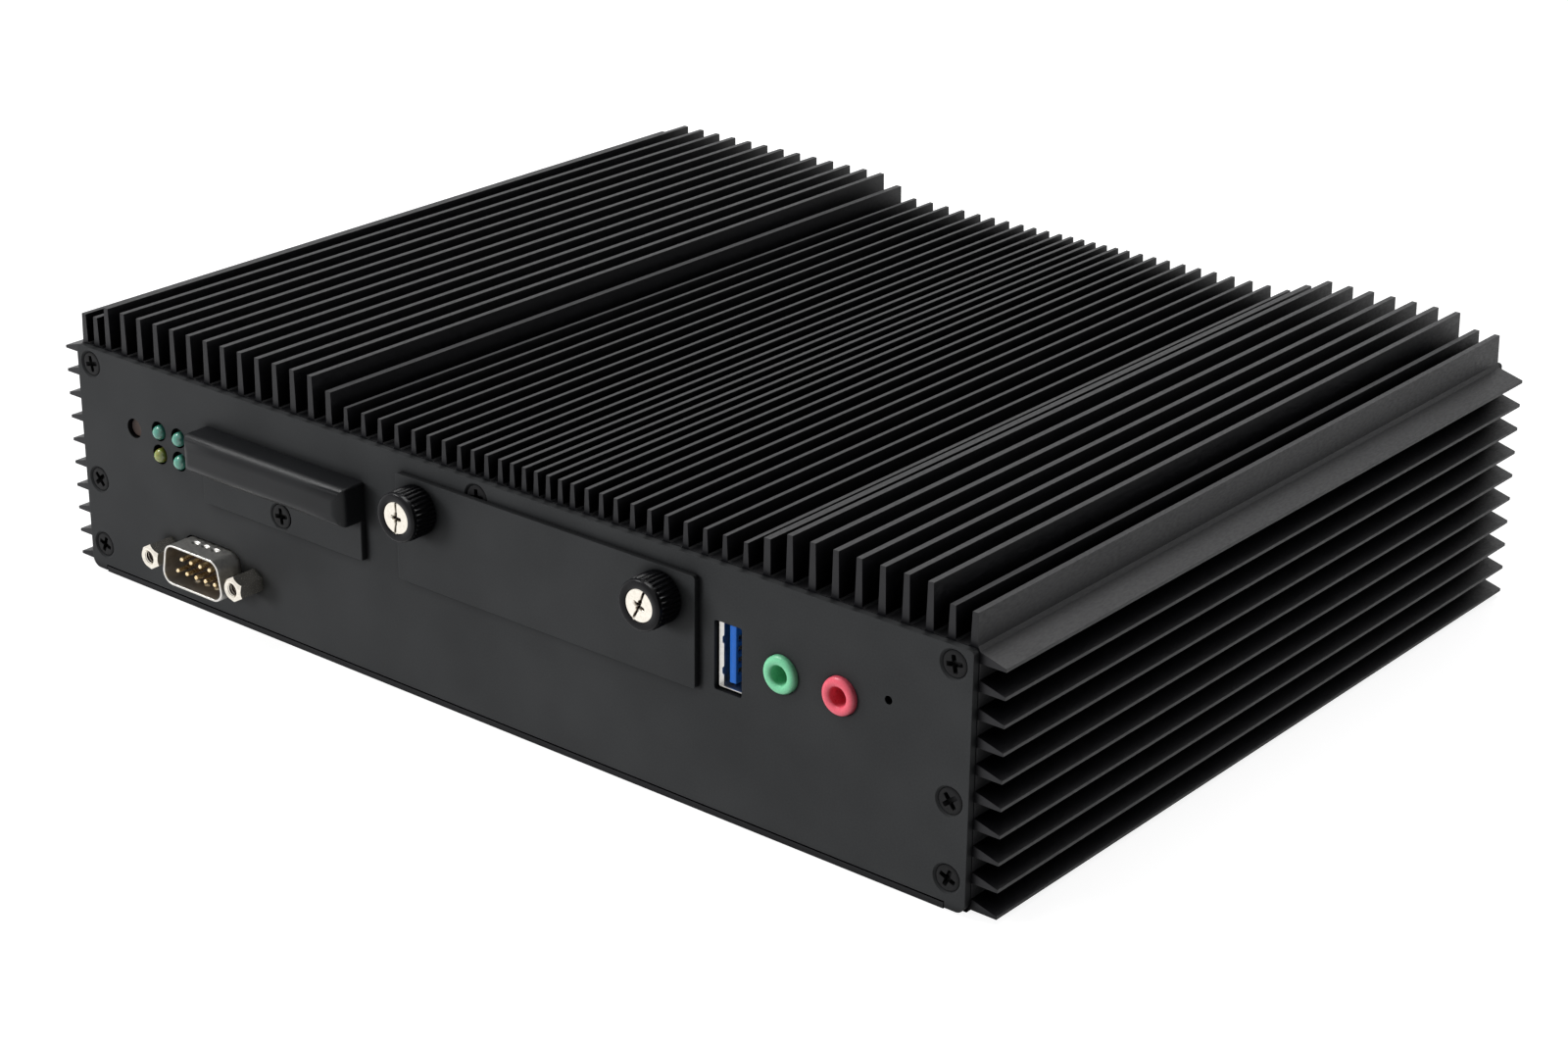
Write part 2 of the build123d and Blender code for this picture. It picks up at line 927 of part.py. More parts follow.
def hexagon_post(x, y, z0, z1, hole_bottom):
    """Hexagonal standoff with a threaded hole from the top."""
    hexagon = Pos(x, y, z0) * extrude(RegularPolygon(post_r, 6), amount=z1 - z0)
    return hexagon - upright(x, y, screw_hole_r, hole_bottom, z1 + past)


def board_posts():
    """Standoffs from the tray's floor to the two small boards."""
    posts = []
    for span, level in small_boards():
        hole_bottom = level - post_hole_depth
        posts += [hexagon_post(x, y, floor_thickness, level, hole_bottom) for x, y in post_places(span)]
    return group(posts)


# ---- USB and audio ----
def usb_start():
    return y_face + usb_recess


def usb_shell():
    y0 = usb_start()
    y1 = y0 + usb_depth
    outer = section(at(usb_x, usb_z, RectangleRounded(usb_width, usb_height, usb_corner_r)), y0, y1)
    hollow = Rectangle(usb_width - 2 * usb_wall, usb_height - 2 * usb_wall)
    return outer - section(at(usb_x, usb_z, hollow), y0 - past, y1 - usb_wall)


def usb_tongue():
    y1 = usb_start() + usb_depth - usb_wall
    y_block = y1 - usb_block_depth
    tongue = Rectangle(tongue_thickness, tongue_height)
    around = 2 * (usb_wall + usb_block_play)
    plug = section(at(usb_x, usb_z, Rectangle(usb_width - around, usb_height - around)), y_block, y1)
    return plug + section(at(usb_x - tongue_shift, usb_z, tongue), usb_start() + tongue_recess, y_block)


def audio_jack(x):
    """Coloured ring that stands out of the panel around the plug's bore."""
    y_tip = y_face - audio_reach
    y_seat = y_front + audio_ring_seat
    ring = rod(x, audio_z, audio_ring_r, y_tip, y_seat)
    ring = fillet(ring.edges().sort_by(Axis.Y)[0], audio_ring_edge_r)
    return ring - rod(x, audio_z, audio_bore_r, y_tip - past, y_seat + past)


def audio_bodies():
    bottom = side_board_z + board_thickness
    half = audio_body_width / 2
    y0 = y_front + audio_ring_seat
    y1 = y0 + audio_body_depth
    bodies = []
    for x in audio_places():
        body = block(x - half, x + half, y0, y1, bottom, audio_z + half)
        bodies.append(body - rod(x, audio_z, audio_bore_r, y0 - past, y1 + past))
    return group(bodies)


# ---- drive tray ----
def drive_door():
    height = door_top - door_bottom
    face = RectangleRounded(door_right - door_left, height, door_corner_r)
    door = section(at(tray_x, door_bottom + height / 2, face), y_face - door_thickness, y_face)
    for x in thumb_places():
        door -= rod(x, thumb_z, thumb_shank_r + thumb_door_fit, y_face - door_thickness - past, y_face + past)
    return door


def drive_screw_places():
    """Side, X of the drive's flank and Y of each drive screw."""
    y0 = drive_front + drive_screw_front
    return [(s, tray_x + s * drive_width / 2, y) for s in (-1, 1) for y in (y0, y0 + drive_screw_pitch)]


def drive_sled():
    """Folded sheet: floor with a vent, two side lips and a front wall riveted behind the door."""
    inner = sled_half - sled_wall
    z0 = sled_floor
    right = [
        (sled_half, z0), (sled_half, z0 + sled_lip), (inner, z0 + sled_lip), (inner, drive_floor),
    ]
    sled = Pos(tray_x, 0, 0) * section(outline(right + mirrored(right)), y_face, sled_end)
    wall_top = drive_top + sled_wall_rise
    sled += block(tray_x - sled_half, tray_x + sled_half, y_face, y_face + sled_wall, z0, wall_top)
    for side, x, y in drive_screw_places():
        x_lip = x + side * (sled_gap + sled_wall / 2)
        sled -= crosswise(x_lip, y, drive_screw_z, screw_clear_r, sled_wall + sled_gap)
    vent_half = drive_width / 2 - sled_vent_inset
    y0 = drive_front + sled_vent_inset
    y1 = drive_end - sled_vent_inset
    return sled - block(tray_x - vent_half, tray_x + vent_half, y0, y1, z0 - past, drive_floor + past)


def storage_drive():
    half = drive_width / 2
    body = block(tray_x - half, tray_x + half, drive_front, drive_end, drive_floor, drive_top)
    body = chamfer(body.edges().filter_by(Axis.Z), drive_corner)
    for side, x, y in drive_screw_places():
        body -= crosswise(x - side * drive_screw_hole / 2, y, drive_screw_z, screw_hole_r, drive_screw_hole)
    x0 = tray_x + drive_plug_left
    z0 = drive_floor + drive_plug_rise
    y0 = drive_end - drive_plug_depth
    return body - block(x0, x0 + drive_plug_width, y0, drive_end + past, z0, z0 + drive_plug_height)


def drive_screws():
    screws = []
    for side, x, y in drive_screw_places():
        x_lip = tray_x + side * sled_half
        shank = sled_wall + sled_gap + drive_screw_bite
        screw = crosswise(x_lip - side * shank / 2, y, drive_screw_z, screw_shank_r, shank)
        x_cap = x_lip + side * drive_screw_cap / 2
        screws.append(screw + crosswise(x_cap, y, drive_screw_z, drive_screw_head_r, drive_screw_cap))
    return group(screws)


def drive_cage():
    """Hat section hung from the roof: floor, two walls and outward brims, closed at the back."""
    out = cage_half + cage_wall
    brim = out + cage_brim
    z0 = cage_floor
    z1 = roof_under
    right = [
        (out, z0), (out, z1 - cage_wall), (brim, z1 - cage_wall), (brim, z1), (cage_half, z1),
        (cage_half, z0 + cage_wall),
    ]
    cage = Pos(tray_x, 0, 0) * section(outline(right + mirrored(right)), y_front, cage_end)
    back_top = drive_top + cage_back_rise
    return cage + block(tray_x - cage_half, tray_x + cage_half, cage_end - cage_wall, cage_end, z0, back_top)


def drive_connector():
    """Socket on the cage's back wall that the drive's plug slides onto."""
    x0 = tray_x + drive_plug_left + plug_margin_x
    x1 = x0 + drive_plug_width - 2 * plug_margin_x
    z0 = drive_floor + drive_plug_rise + plug_margin_z
    z1 = z0 + drive_plug_height - 2 * plug_margin_z
    y1 = cage_end - cage_wall
    y_foot = y1 - connector_back
    nose = block(x0, x1, drive_end - drive_plug_depth + plug_gap, y_foot, z0, z1)
    bottom = cage_floor + cage_wall
    return nose + block(x0 - connector_side, x1 + connector_side, y_foot, y1, bottom, bottom + connector_rise)


# ---- thumbscrews ----
def knurled_ring(x):
    """Straight knurl: a toothed outline around the axis."""
    step = pi / knurl_count
    points = []
    for i in range(2 * knurl_count):
        r = knob_r if i % 2 == 0 else knob_r - knurl_depth
        points.append((x + r * cos(i * step), thumb_z + r * sin(i * step)))
    return outline(points)


def thumb_knob(x):
    """Knurled knob with a smooth collar, a seat for the screw's head and a well for the spring."""
    y1 = knob_face + knob_length
    collar = rod(x, thumb_z, knob_r - knob_collar_drop, knob_face, knob_face + knob_collar)
    collar = fillet(collar.edges().sort_by(Axis.Y)[0], knob_collar_edge_r)
    knob = collar + section(knurled_ring(x), knob_face + knob_collar, y1)
    knob -= rod(x, thumb_z, insert_r, knob_face - past, knob_face + insert_depth)
    knob -= rod(x, thumb_z, thumb_shank_r, knob_face, y1 + past)
    return knob - rod(x, thumb_z, spring_recess_r, washer_seat, y1 + past)


def thumb_insert(x):
    """Steel screw pressed into the knob: slotted head with a cross, long shank."""
    y_head = knob_face + insert_depth
    screw = rod(x, thumb_z, insert_r, knob_face + insert_sunk, y_head)
    screw += rod(x, thumb_z, thumb_shank_r, y_head, y_front + nut_length)
    y_slot = knob_face + insert_slot_depth
    slot = Rectangle(insert_slot_width, 2 * (insert_r + past))
    screw -= section(at(x, thumb_z, slot), knob_face - past, y_slot)
    cross = Rectangle(insert_cross_length, insert_cross_width)
    return screw - section(at(x, thumb_z, cross), knob_face - past, y_slot)


def thumb_washer(x):
    y1 = washer_seat + washer_thickness
    ring = rod(x, thumb_z, spring_recess_r - washer_fit, washer_seat, y1)
    return ring - rod(x, thumb_z, thumb_shank_r + washer_fit, washer_seat - past, y1 + past)


def thumb_spring(x):
    """Compression spring of square wire between the door and the washer."""
    y0 = washer_seat + washer_thickness + spring_wire / 2
    y1 = y_face - door_thickness - spring_wire / 2
    helix = Helix((y1 - y0) / spring_turns, y1 - y0, spring_r)
    start = Plane(origin=helix @ 0, z_dir=helix % 0)
    coil = sweep(start * Rectangle(spring_wire, spring_wire), path=helix, is_frenet=True)
    return Pos(x, y1, thumb_z) * Rot(90, 0, 0) * coil


def pressed_nuts():
    """Nuts pressed into sheet: behind the thumbscrews, the card cover screw and the bracket holes."""
    nuts = []
    for x in thumb_places():
        nuts.append(panel_nut(x, thumb_z, nut_r, nut_length, thumb_shank_r + thumb_fit))
    nuts.append(panel_nut(card_x, card_screw_z, card_nut_r, card_nut_length, screw_hole_r))
    top = floor_thickness + bracket_nut_height
    for x, y in bracket_places():
        nut = upright(x, y, bracket_nut_r, floor_thickness, top)
        nuts.append(nut - upright(x, y, bracket_hole_r, floor_thickness - past, top + past))
    return group(nuts)


def panel_nut(x, z, r, length, hole_r):
    y1 = y_front + length
    return rod(x, z, r, y_front, y1) - rod(x, z, hole_r, y_front - past, y1 + past)


# ---- main board and its parts ----
def standoff_places():
    x = main_board_width / 2 - standoff_inset
    ys = (main_board_front + standoff_inset, main_board_back - standoff_back)
    return [(side * x, y) for side in (-1, 1) for y in ys]


def main_board():
    half = main_board_width / 2
    board = block(-half, half, main_board_front, main_board_back, main_board_z, main_board_top)
    for x, y in standoff_places():
        board -= upright(x, y, screw_clear_r, main_board_z - past, main_board_top + past)
    return board


def board_standoffs():
    hole_bottom = floor_thickness + post_hole_floor
    places = standoff_places()
    return group([hexagon_post(x, y, floor_thickness, main_board_z, hole_bottom) for x, y in places])


def board_screws():
    screws = [pan_screw(x, y, main_board_top) for x, y in standoff_places()]
    for span, level in small_boards():
        screws += [pan_screw(x, y, level + board_thickness) for x, y in post_places(span)]
    return group(screws)


def processor():
    z1 = main_board_top + processor_base
    base = square_block(core_x, processor_y, processor_size, main_board_top, z1)
    return base + square_block(core_x, processor_y, lid_size, z1, main_board_top + processor_height)


def heat_block():
    """Machined block from the processor's lid to the land under the roof, with a narrower foot."""
    z0 = main_board_top + processor_height + pad_thickness
    z1 = z0 + block_foot_height
    z2 = roof_under - land_depth - pad_thickness
    foot = square_block(core_x, processor_y, block_foot, z0, z1)
    return foot + square_block(core_x, processor_y, block_size, z1, z2)


def thermal_pads():
    z0 = main_board_top + processor_height
    z1 = roof_under - land_depth
    lower = square_block(core_x, processor_y, lid_size, z0, z0 + pad_thickness)
    upper = square_block(core_x, processor_y, block_size - 2 * pad_inset, z1 - pad_thickness, z1)
    return group([lower, upper])


def memory_socket():
    """Low socket with a slot for the module's edge and two spring arms."""
    half = memory_width / 2 + memory_arm_gap + memory_arm
    back = memory_y + memory_socket_depth / 2
    top = main_board_top + memory_socket_height
    body = block(memory_x - half, memory_x + half, back - memory_socket_depth, back, main_board_top, top)
    slot_half = memory_width / 2 + memory_slot_play
    z0 = main_board_top + memory_rise - memory_slot_play
    z1 = z0 + memory_thickness + 2 * memory_slot_play
    slot_front = memory_y - memory_seat - memory_edge
    body -= block(memory_x - slot_half, memory_x + slot_half, slot_front, back + past, z0, z1)
    for x in (memory_x - half, memory_x + half - memory_arm):
        body += block(x, x + memory_arm, back, back + memory_arm_length, main_board_top, top)
    return body


def memory_module():
    z0 = main_board_top + memory_rise
    z1 = z0 + memory_thickness
    half = memory_width / 2
    y0 = memory_y - memory_seat
    module = block(memory_x - half, memory_x + half, y0, y0 + memory_depth, z0, z1)
    first = memory_x - (chip_count - 1) * chip_pitch / 2 - chip_width / 2
    y1 = memory_y + chip_back
    for i in range(chip_count):
        x = first + i * chip_pitch
        module += block(x, x + chip_width, y1, y1 + chip_depth, z1, z1 + chip_height)
    return module


def cell_holder():
    top = main_board_top + holder_height
    ring = upright(cell_x, cell_y, holder_r, main_board_top, top)
    return ring - upright(cell_x, cell_y, cell_r + cell_play, main_board_top + holder_floor, top + past)


def coin_cell():
    z0 = main_board_top + holder_floor
    return upright(cell_x, cell_y, cell_r, z0, z0 + cell_height)


# ---- rear ports ----
def rear_ports():
    """Centre X, centre Z, width and height of each square cut-out in the rear panel."""
    sizes = [(x, lan_width, lan_height) for x in lan_places()]
    sizes += [(stack_x, stack_width, stack_height), (video_x, video_width, video_height)]
    return [(x, main_board_top + height / 2, width, height) for x, width, height in sizes]


def lan_places():
    return [lan_x, lan_x + lan_pitch]


def lan_ports():
    """Two network jacks: a metal box with a stepped mouth for the plug and its latch."""
    jacks = []
    y_end = port_end - lan_mouth_depth
    mouth_z = main_board_top + lan_mouth_rise + lan_mouth_height / 2
    latch_z = main_board_top + lan_latch_rise + lan_latch_height / 2
    for x in lan_places():
        half = lan_width / 2
        top = main_board_top + lan_height
        jack = block(x - half, x + half, port_end - lan_depth, port_end, main_board_top, top)
        mouth = Rectangle(lan_mouth_width, lan_mouth_height)
        jack -= section(at(x, mouth_z, mouth), y_end, port_end + past)
        latch = Rectangle(lan_latch_width, lan_latch_height)
        jacks.append(jack - section(at(x, latch_z, latch), y_end, port_end + past))
    return group(jacks)


def stack_levels():
    """Centre height of each of the two stacked USB mouths."""
    first = main_board_top + stack_port_height / 2
    return [first, first + stack_port_height + stack_gap]


def usb_stack():
    half = stack_width / 2
    top = main_board_top + stack_height
    body = block(stack_x - half, stack_x + half, port_end - stack_depth, port_end, main_board_top, top)
    mouth = Rectangle(stack_width - 2 * usb_wall, stack_port_height - 2 * usb_wall)
    for z in stack_levels():
        body -= section(at(stack_x, z, mouth), port_end - stack_mouth_depth, port_end + past)
    return body


def video_outline(shrink):
    """Display socket's outline: a wide top, slanting shoulders and a narrower bottom."""
    w = video_width / 2 - shrink
    h = video_height / 2 - shrink
    right = [(w - video_corner, -h), (w, -h * video_shoulder), (w, h)]
    return outline(right + mirrored(right))


def video_port():
    z = main_board_top + video_height / 2
    shell = section(at(video_x, z, video_outline(0)), port_end - video_depth, port_end)
    hollow = at(video_x, z, video_outline(video_wall))
    return shell - section(hollow, port_end - video_depth + video_back, port_end + past)


def rear_tongues():
    """Contact tongues of the display socket and of the two stacked USB mouths."""
    y1 = port_end - rear_tongue_recess
    video = Rectangle(video_tongue_width, video_tongue_thickness)
    video_z = main_board_top + (video_height + video_wall) / 2
    tongues = [section(at(video_x, video_z, video), port_end - video_depth + video_back, y1)]
    usb = Rectangle(tongue_height, tongue_thickness)
    for z in stack_levels():
        tongues.append(section(at(stack_x, z + tongue_shift, usb), port_end - stack_mouth_depth, y1))
    return group(tongues)


def power_inlet():
    y1 = y_rear_face + inlet_reach
    body = rod(inlet_x, inlet_z, inlet_r, y_back, y1)
    body += rod(inlet_x, inlet_z, inlet_r + inlet_collar, y_back - inlet_collar_depth, y_back)
    return body - rod(inlet_x, inlet_z, inlet_bore_r, y_back - inlet_bore_depth, y1 + past)


def power_inlet_pin():
    y1 = y_rear_face + inlet_reach - inlet_pin_recess
    return rod(inlet_x, inlet_z, inlet_pin_r, y_back - inlet_bore_depth, y1)


def power_inlet_nut():
    y1 = y_rear_face + inlet_nut_height
    hexagon = RegularPolygon(inlet_nut_flats / 2 / cos(pi / 6), 6)
    nut = section(at(inlet_x, inlet_z, hexagon), y_rear_face, y1)
    return nut - rod(inlet_x, inlet_z, inlet_r, y_rear_face - past, y1 + past)


# ---- every node and the piece it holds ----
def pieces():
    upper_left, upper_right, lower_left, lower_right = [light(x, z) for x, z in light_places()]
    front_screws = [flat_screw(x, z, y_face, -1) for x, z in panel_screw_places()]
    rear_screws = [flat_screw(x, z, y_rear_face, 1) for x, z in panel_screw_places()]
    yield "top_cover", top_cover()
    yield "base_tray", base_tray()
    yield "front_panel", front_panel()
    yield "rear_panel", rear_panel()
    yield "front_panel_screws", group(front_screws)
    yield "rear_panel_screws", group(rear_screws)
    yield "card_cover", card_cover()
    yield "card_cover_screw", flat_screw(card_x, card_screw_z, y_face - card_flange, -1)
    yield "card_socket", card_socket()
    yield "serial_shell", serial_shell()
    yield "serial_insulator", serial_insulator()
    yield "serial_pins", serial_pins()
    yield "serial_jackscrews", serial_jackscrews()
    yield "green_lights", group([upper_left, upper_right, lower_right])
    yield "yellow_light", lower_left
    yield "light_holder", light_holder()
    yield "power_button", power_button()
    yield "power_switch", power_switch()
    yield "reset_plunger", reset_plunger()
    yield "reset_switch", reset_switch()
    yield "status_board", small_board(status_board_span(), status_board_z)
    yield "side_board", small_board(side_board_span(), side_board_z)
    yield "board_posts", board_posts()
    yield "usb_shell", usb_shell()
    yield "usb_tongue", usb_tongue()
    yield "audio_jack_output", audio_jack(audio_places()[0])
    yield "audio_jack_microphone", audio_jack(audio_places()[1])
    yield "audio_jack_bodies", audio_bodies()
    yield "drive_door", drive_door()
    yield "drive_sled", drive_sled()
    yield "storage_drive", storage_drive()
    yield "drive_screws", drive_screws()
    yield "drive_cage", drive_cage()
    yield "drive_connector", drive_connector()
    for side, x in zip(("left", "right"), thumb_places()):
        yield "thumbscrew_knob_" + side, thumb_knob(x)
        yield "thumbscrew_insert_" + side, thumb_insert(x)
        yield "thumbscrew_washer_" + side, thumb_washer(x)
        yield "thumbscrew_spring_" + side, thumb_spring(x)
    yield "pressed_nuts", pressed_nuts()
    yield "main_board", main_board()
    yield "board_standoffs", board_standoffs()
    yield "board_screws", board_screws()
    yield "processor", processor()
    yield "heat_block", heat_block()
    yield "thermal_pads", thermal_pads()
    yield "memory_socket", memory_socket()
    yield "memory_module", memory_module()
    yield "cell_holder", cell_holder()
    yield "coin_cell", coin_cell()
    yield "lan_ports", lan_ports()
    yield "usb_stack", usb_stack()
    yield "video_port", video_port()
    yield "rear_port_tongues", rear_tongues()
    yield "power_inlet", power_inlet()
    yield "power_inlet_pin", power_inlet_pin()
    yield "power_inlet_nut", power_inlet_nut()


os.makedirs("parts", exist_ok=True)
for name, piece in pieces():
    export_step(piece, "parts/" + name + ".step")
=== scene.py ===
import json
import math

import bmesh
import bpy
import numpy as np
from mathutils import Matrix, Vector


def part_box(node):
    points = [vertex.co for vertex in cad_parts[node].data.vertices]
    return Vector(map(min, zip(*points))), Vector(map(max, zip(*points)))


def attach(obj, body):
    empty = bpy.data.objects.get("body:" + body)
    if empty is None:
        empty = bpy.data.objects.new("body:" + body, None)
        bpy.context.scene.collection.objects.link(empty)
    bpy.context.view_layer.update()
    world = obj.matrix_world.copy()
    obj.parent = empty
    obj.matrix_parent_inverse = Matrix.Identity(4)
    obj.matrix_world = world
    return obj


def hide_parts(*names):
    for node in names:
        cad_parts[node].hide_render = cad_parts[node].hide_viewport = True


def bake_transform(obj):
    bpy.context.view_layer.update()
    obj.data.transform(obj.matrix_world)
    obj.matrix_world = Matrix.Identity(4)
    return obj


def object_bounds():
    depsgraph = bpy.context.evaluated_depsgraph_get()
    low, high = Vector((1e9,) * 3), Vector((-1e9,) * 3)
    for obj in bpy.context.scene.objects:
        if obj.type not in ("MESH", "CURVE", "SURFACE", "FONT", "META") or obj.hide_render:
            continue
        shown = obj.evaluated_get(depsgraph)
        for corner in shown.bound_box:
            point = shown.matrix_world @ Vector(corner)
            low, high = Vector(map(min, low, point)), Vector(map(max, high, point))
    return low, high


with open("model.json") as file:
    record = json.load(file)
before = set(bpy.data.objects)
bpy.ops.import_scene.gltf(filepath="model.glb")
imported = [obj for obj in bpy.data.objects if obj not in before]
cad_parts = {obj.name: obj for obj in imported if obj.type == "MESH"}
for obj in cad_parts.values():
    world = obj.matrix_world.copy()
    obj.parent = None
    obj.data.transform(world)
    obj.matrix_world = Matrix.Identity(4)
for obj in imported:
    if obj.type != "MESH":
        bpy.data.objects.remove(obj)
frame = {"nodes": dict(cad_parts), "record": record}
cad_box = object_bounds()
# Sizes and places are worked out in millimetres, and multiplied by MM where they reach a mesh.
MM = 0.001


# ---- colours and nodes ----
def linear(code):
    """An sRGB hex colour in linear light: a shade is divided by 12.92 when very dark, and otherwise
    raised to 2.4 after 0.055 is added and the sum divided by 1.055."""
    shades = [int(code[i:i + 2], 16) / 255 for i in (1, 3, 5)]
    return [s / 12.92 if s <= 0.04045 else ((s + 0.055) / 1.055) ** 2.4 for s in shades] + [1.0]


def add_node(tree, kind, sockets=None, **settings):
    """Adds one node. A setting is the node's own; a socket takes a value, or (node, output) as a
    link."""
    made = tree.nodes.new("ShaderNode" + kind)
    for name, value in settings.items():
        setattr(made, name, value)
    for socket, value in (sockets or {}).items():
        if isinstance(value, tuple) and isinstance(value[0], bpy.types.Node):
            tree.links.new(value[0].outputs[value[1]], made.inputs[socket])
        else:
            made.inputs[socket].default_value = value
    return made


# What all finishes share: how much coarser the slow noise is, between which sums and heights the
# noises count, how far the bevelled normal leans where an edge keeps its colour and where it is
# lightest (part wear, part painted highlight), and how open a face is where its painted shade is
# darkest and where it has none.
slow_over_fine = 40
mix_from, mix_to = 0.75, 1.25
noise_low, noise_high = 0.3, 0.7
lean_unmarked, lean_worn_and_highlit = 0.98, 0.72
openness_darkest, openness_unshaded = 0.3, 0.75
fine_detail, edge_samples, shelter_samples = 3.0, 4, 8


def finish(
    name, dark, light, grain, rough, bump, stretch=(1, 1, 1), edge=None, painted_shade=None, **constant
):
    """One procedural finish. Fine noise of the given grain in millimetres, long where stretch is
    small, sets the roughness and the bump's height, also in millimetres; with a noise forty times
    coarser it mixes the dark and the light colour. edge is (radius in millimetres, edge colour):
    the bevelled normal rounds sharp edges and its lean off the face's own normal lightens them,
    part wear and part painted highlight. The argument after it is (reach in millimetres, colour of
    a painted shade in slots and bores narrower than that). With a third number, the openness from
    which a face counts as unshaded, pieces near by cast the painted shade too, and a shaded face
    loses its sheen as well, a painted shade on its reflection. What is left over are the shader's
    own inputs, in lower case."""
    made = bpy.data.materials.new(name)
    made.use_nodes = True
    tree = made.node_tree
    shader = tree.nodes["Principled BSDF"]
    place = add_node(tree, "TexCoord")
    drawn = add_node(tree, "Mapping", {"Vector": (place, "Object"), "Scale": stretch})
    fine = add_node(
        tree, "TexNoise",
        {"Vector": (drawn, 0), "Scale": 1 / (grain * MM), "Detail": fine_detail},
    )
    slow_scale = 1 / (slow_over_fine * grain * MM)
    slow = add_node(tree, "TexNoise", {"Vector": (place, "Object"), "Scale": slow_scale})
    both = add_node(tree, "Math", {0: (fine, "Fac"), 1: (slow, "Fac")}, operation="ADD")
    share = add_node(
        tree, "MapRange", {"Value": (both, 0), "From Min": mix_from, "From Max": mix_to}
    )
    colour = add_node(
        tree, "Mix", {0: (share, 0), 6: linear(dark), 7: linear(light)}, data_type="RGBA"
    )
    gloss = add_node(tree, "MapRange", {
        "Value": (fine, "Fac"), "From Min": noise_low, "From Max": noise_high,
        "To Min": rough[0], "To Max": rough[1],
    })
    relief = add_node(
        tree, "Bump", {"Height": (fine, "Fac"), "Distance": bump * MM, "Strength": 1.0}
    )
    # Edges lighter where the bevelled normal leans off the face: part wear, part painted highlight.
    if edge:
        soft = add_node(tree, "Bevel", {"Radius": edge[0] * MM}, samples=edge_samples)
        flat = add_node(tree, "NewGeometry")
        lean = add_node(
            tree, "VectorMath", {0: (soft, 0), 1: (flat, "Normal")}, operation="DOT_PRODUCT"
        )
        worn_and_highlit = add_node(tree, "MapRange", {
            "Value": (lean, "Value"), "From Min": lean_unmarked, "From Max": lean_worn_and_highlit,
        })
        colour = add_node(
            tree, "Mix", {0: (worn_and_highlit, 0), 6: (colour, 2), 7: linear(edge[1])}, data_type="RGBA"
        )
        tree.links.new(soft.outputs[0], relief.inputs["Normal"])
    # Painted shade: ambient occlusion darkens the colour in slots and bores, and near other pieces
    # when a third number is given.
    if painted_shade:
        alone = len(painted_shade) == 2
        shelter = add_node(
            tree, "AmbientOcclusion", {"Distance": painted_shade[0] * MM},
            samples=shelter_samples, only_local=alone,
        )
        unshaded_share = add_node(tree, "MapRange", {
            "Value": (shelter, "AO"), "From Min": openness_darkest,
            "From Max": openness_unshaded if alone else painted_shade[2],
        })
        colour = add_node(
            tree, "Mix", {0: (unshaded_share, 0), 6: linear(painted_shade[1]), 7: (colour, 2)}, data_type="RGBA"
        )
    tree.links.new(colour.outputs[2], shader.inputs["Base Color"])
    tree.links.new(gloss.outputs[0], shader.inputs["Roughness"])
    tree.links.new(relief.outputs[0], shader.inputs["Normal"])
    for socket, value in constant.items():
        title = socket.replace("_", " ").title().replace("Ior", "IOR")
        shader.inputs[title].default_value = value
    # The painted shade dulls the sheen as well: the specular level is multiplied by the openness.
    if painted_shade and not alone:
        sheen_less_painted_shade = add_node(
            tree, "Math", {0: (unshaded_share, 0), 1: constant["specular_ior_level"]}, operation="MULTIPLY"
        )
        tree.links.new(sheen_less_painted_shade.outputs[0], shader.inputs["Specular IOR Level"])
    return made


# Anodised aluminium extrusion, dyed black: a satin skin with a grain of 0.35 mm drawn out along
# the extrusion, a little lighter on the edges of the fins (part wear, part painted highlight), and
# a painted shade near black between them that also dulls their sheen.
black_anodised = finish(
    "black_anodised_aluminium_extruded", "#0A0A0D", "#131316", 0.35, (0.38, 0.56), 0.016,
    stretch=(1, 0.3, 1), edge=(0.1, "#1A1A1D"), painted_shade=(5.5, "#010102", 0.9),
    specular_ior_level=0.32,
)
# Steel sheet, powder coated satin black: an even skin with a fine orange peel of 0.4 mm, its edges
# lighter (part wear, part painted highlight), and a painted shade where pieces stand near it.
black_coat = finish(
    "powder_coated_steel_sheet_satin_black", "#2A2B2C", "#333435", 0.4, (0.5, 0.62), 0.014,
    edge=(0.2, "#343536"), painted_shade=(2.6, "#050506", 0.95), specular_ior_level=0.13,
)
# The same coat, thinner and smoother, on the card cover's box: its rim catches a soft streak.
smooth_coat = finish(
    "powder_coated_steel_folded_smooth_black", "#0D0E10", "#131416", 0.3, (0.36, 0.44), 0.003,
    specular_ior_level=0.2,
)
# Black oxide steel: the screws' thin dull skin, with a painted shade in their recesses.
black_oxide = finish(
    "black_oxide_steel_turned", "#121213", "#19191A", 0.15, (0.36, 0.5), 0.004,
    painted_shade=(1.2, "#050505"), specular_ior_level=0.12,
)
# Glass filled nylon, moulded and spark eroded: dull black with a fine even grain.
black_nylon = finish(
    "glass_filled_nylon_moulded_black", "#151413", "#201E1C", 0.2, (0.45, 0.6), 0.01,
    specular_ior_level=0.35,
)
# Polybutylene moulded dark brown: the insulator between the pins.
brown_insulator = finish(
    "polybutylene_moulded_dark_brown", "#190D03", "#2A1706", 0.2, (0.4, 0.55), 0.008,
    specular_ior_level=0.35,
)
# ABS moulded dark brown: satin with a fine even grain.
brown_button = finish(
    "abs_moulded_dark_brown", "#2E2420", "#3C302A", 0.25, (0.4, 0.55), 0.006,
    specular_ior_level=0.35,
)
# Tin plated steel, pressed: bright and slightly milky, with a faint grain.
tin_plate = finish(
    "tin_plated_steel_pressed", "#CBC9C5", "#DFDDD8", 0.6, (0.28, 0.4), 0.0008,
    metallic=1.0,
)
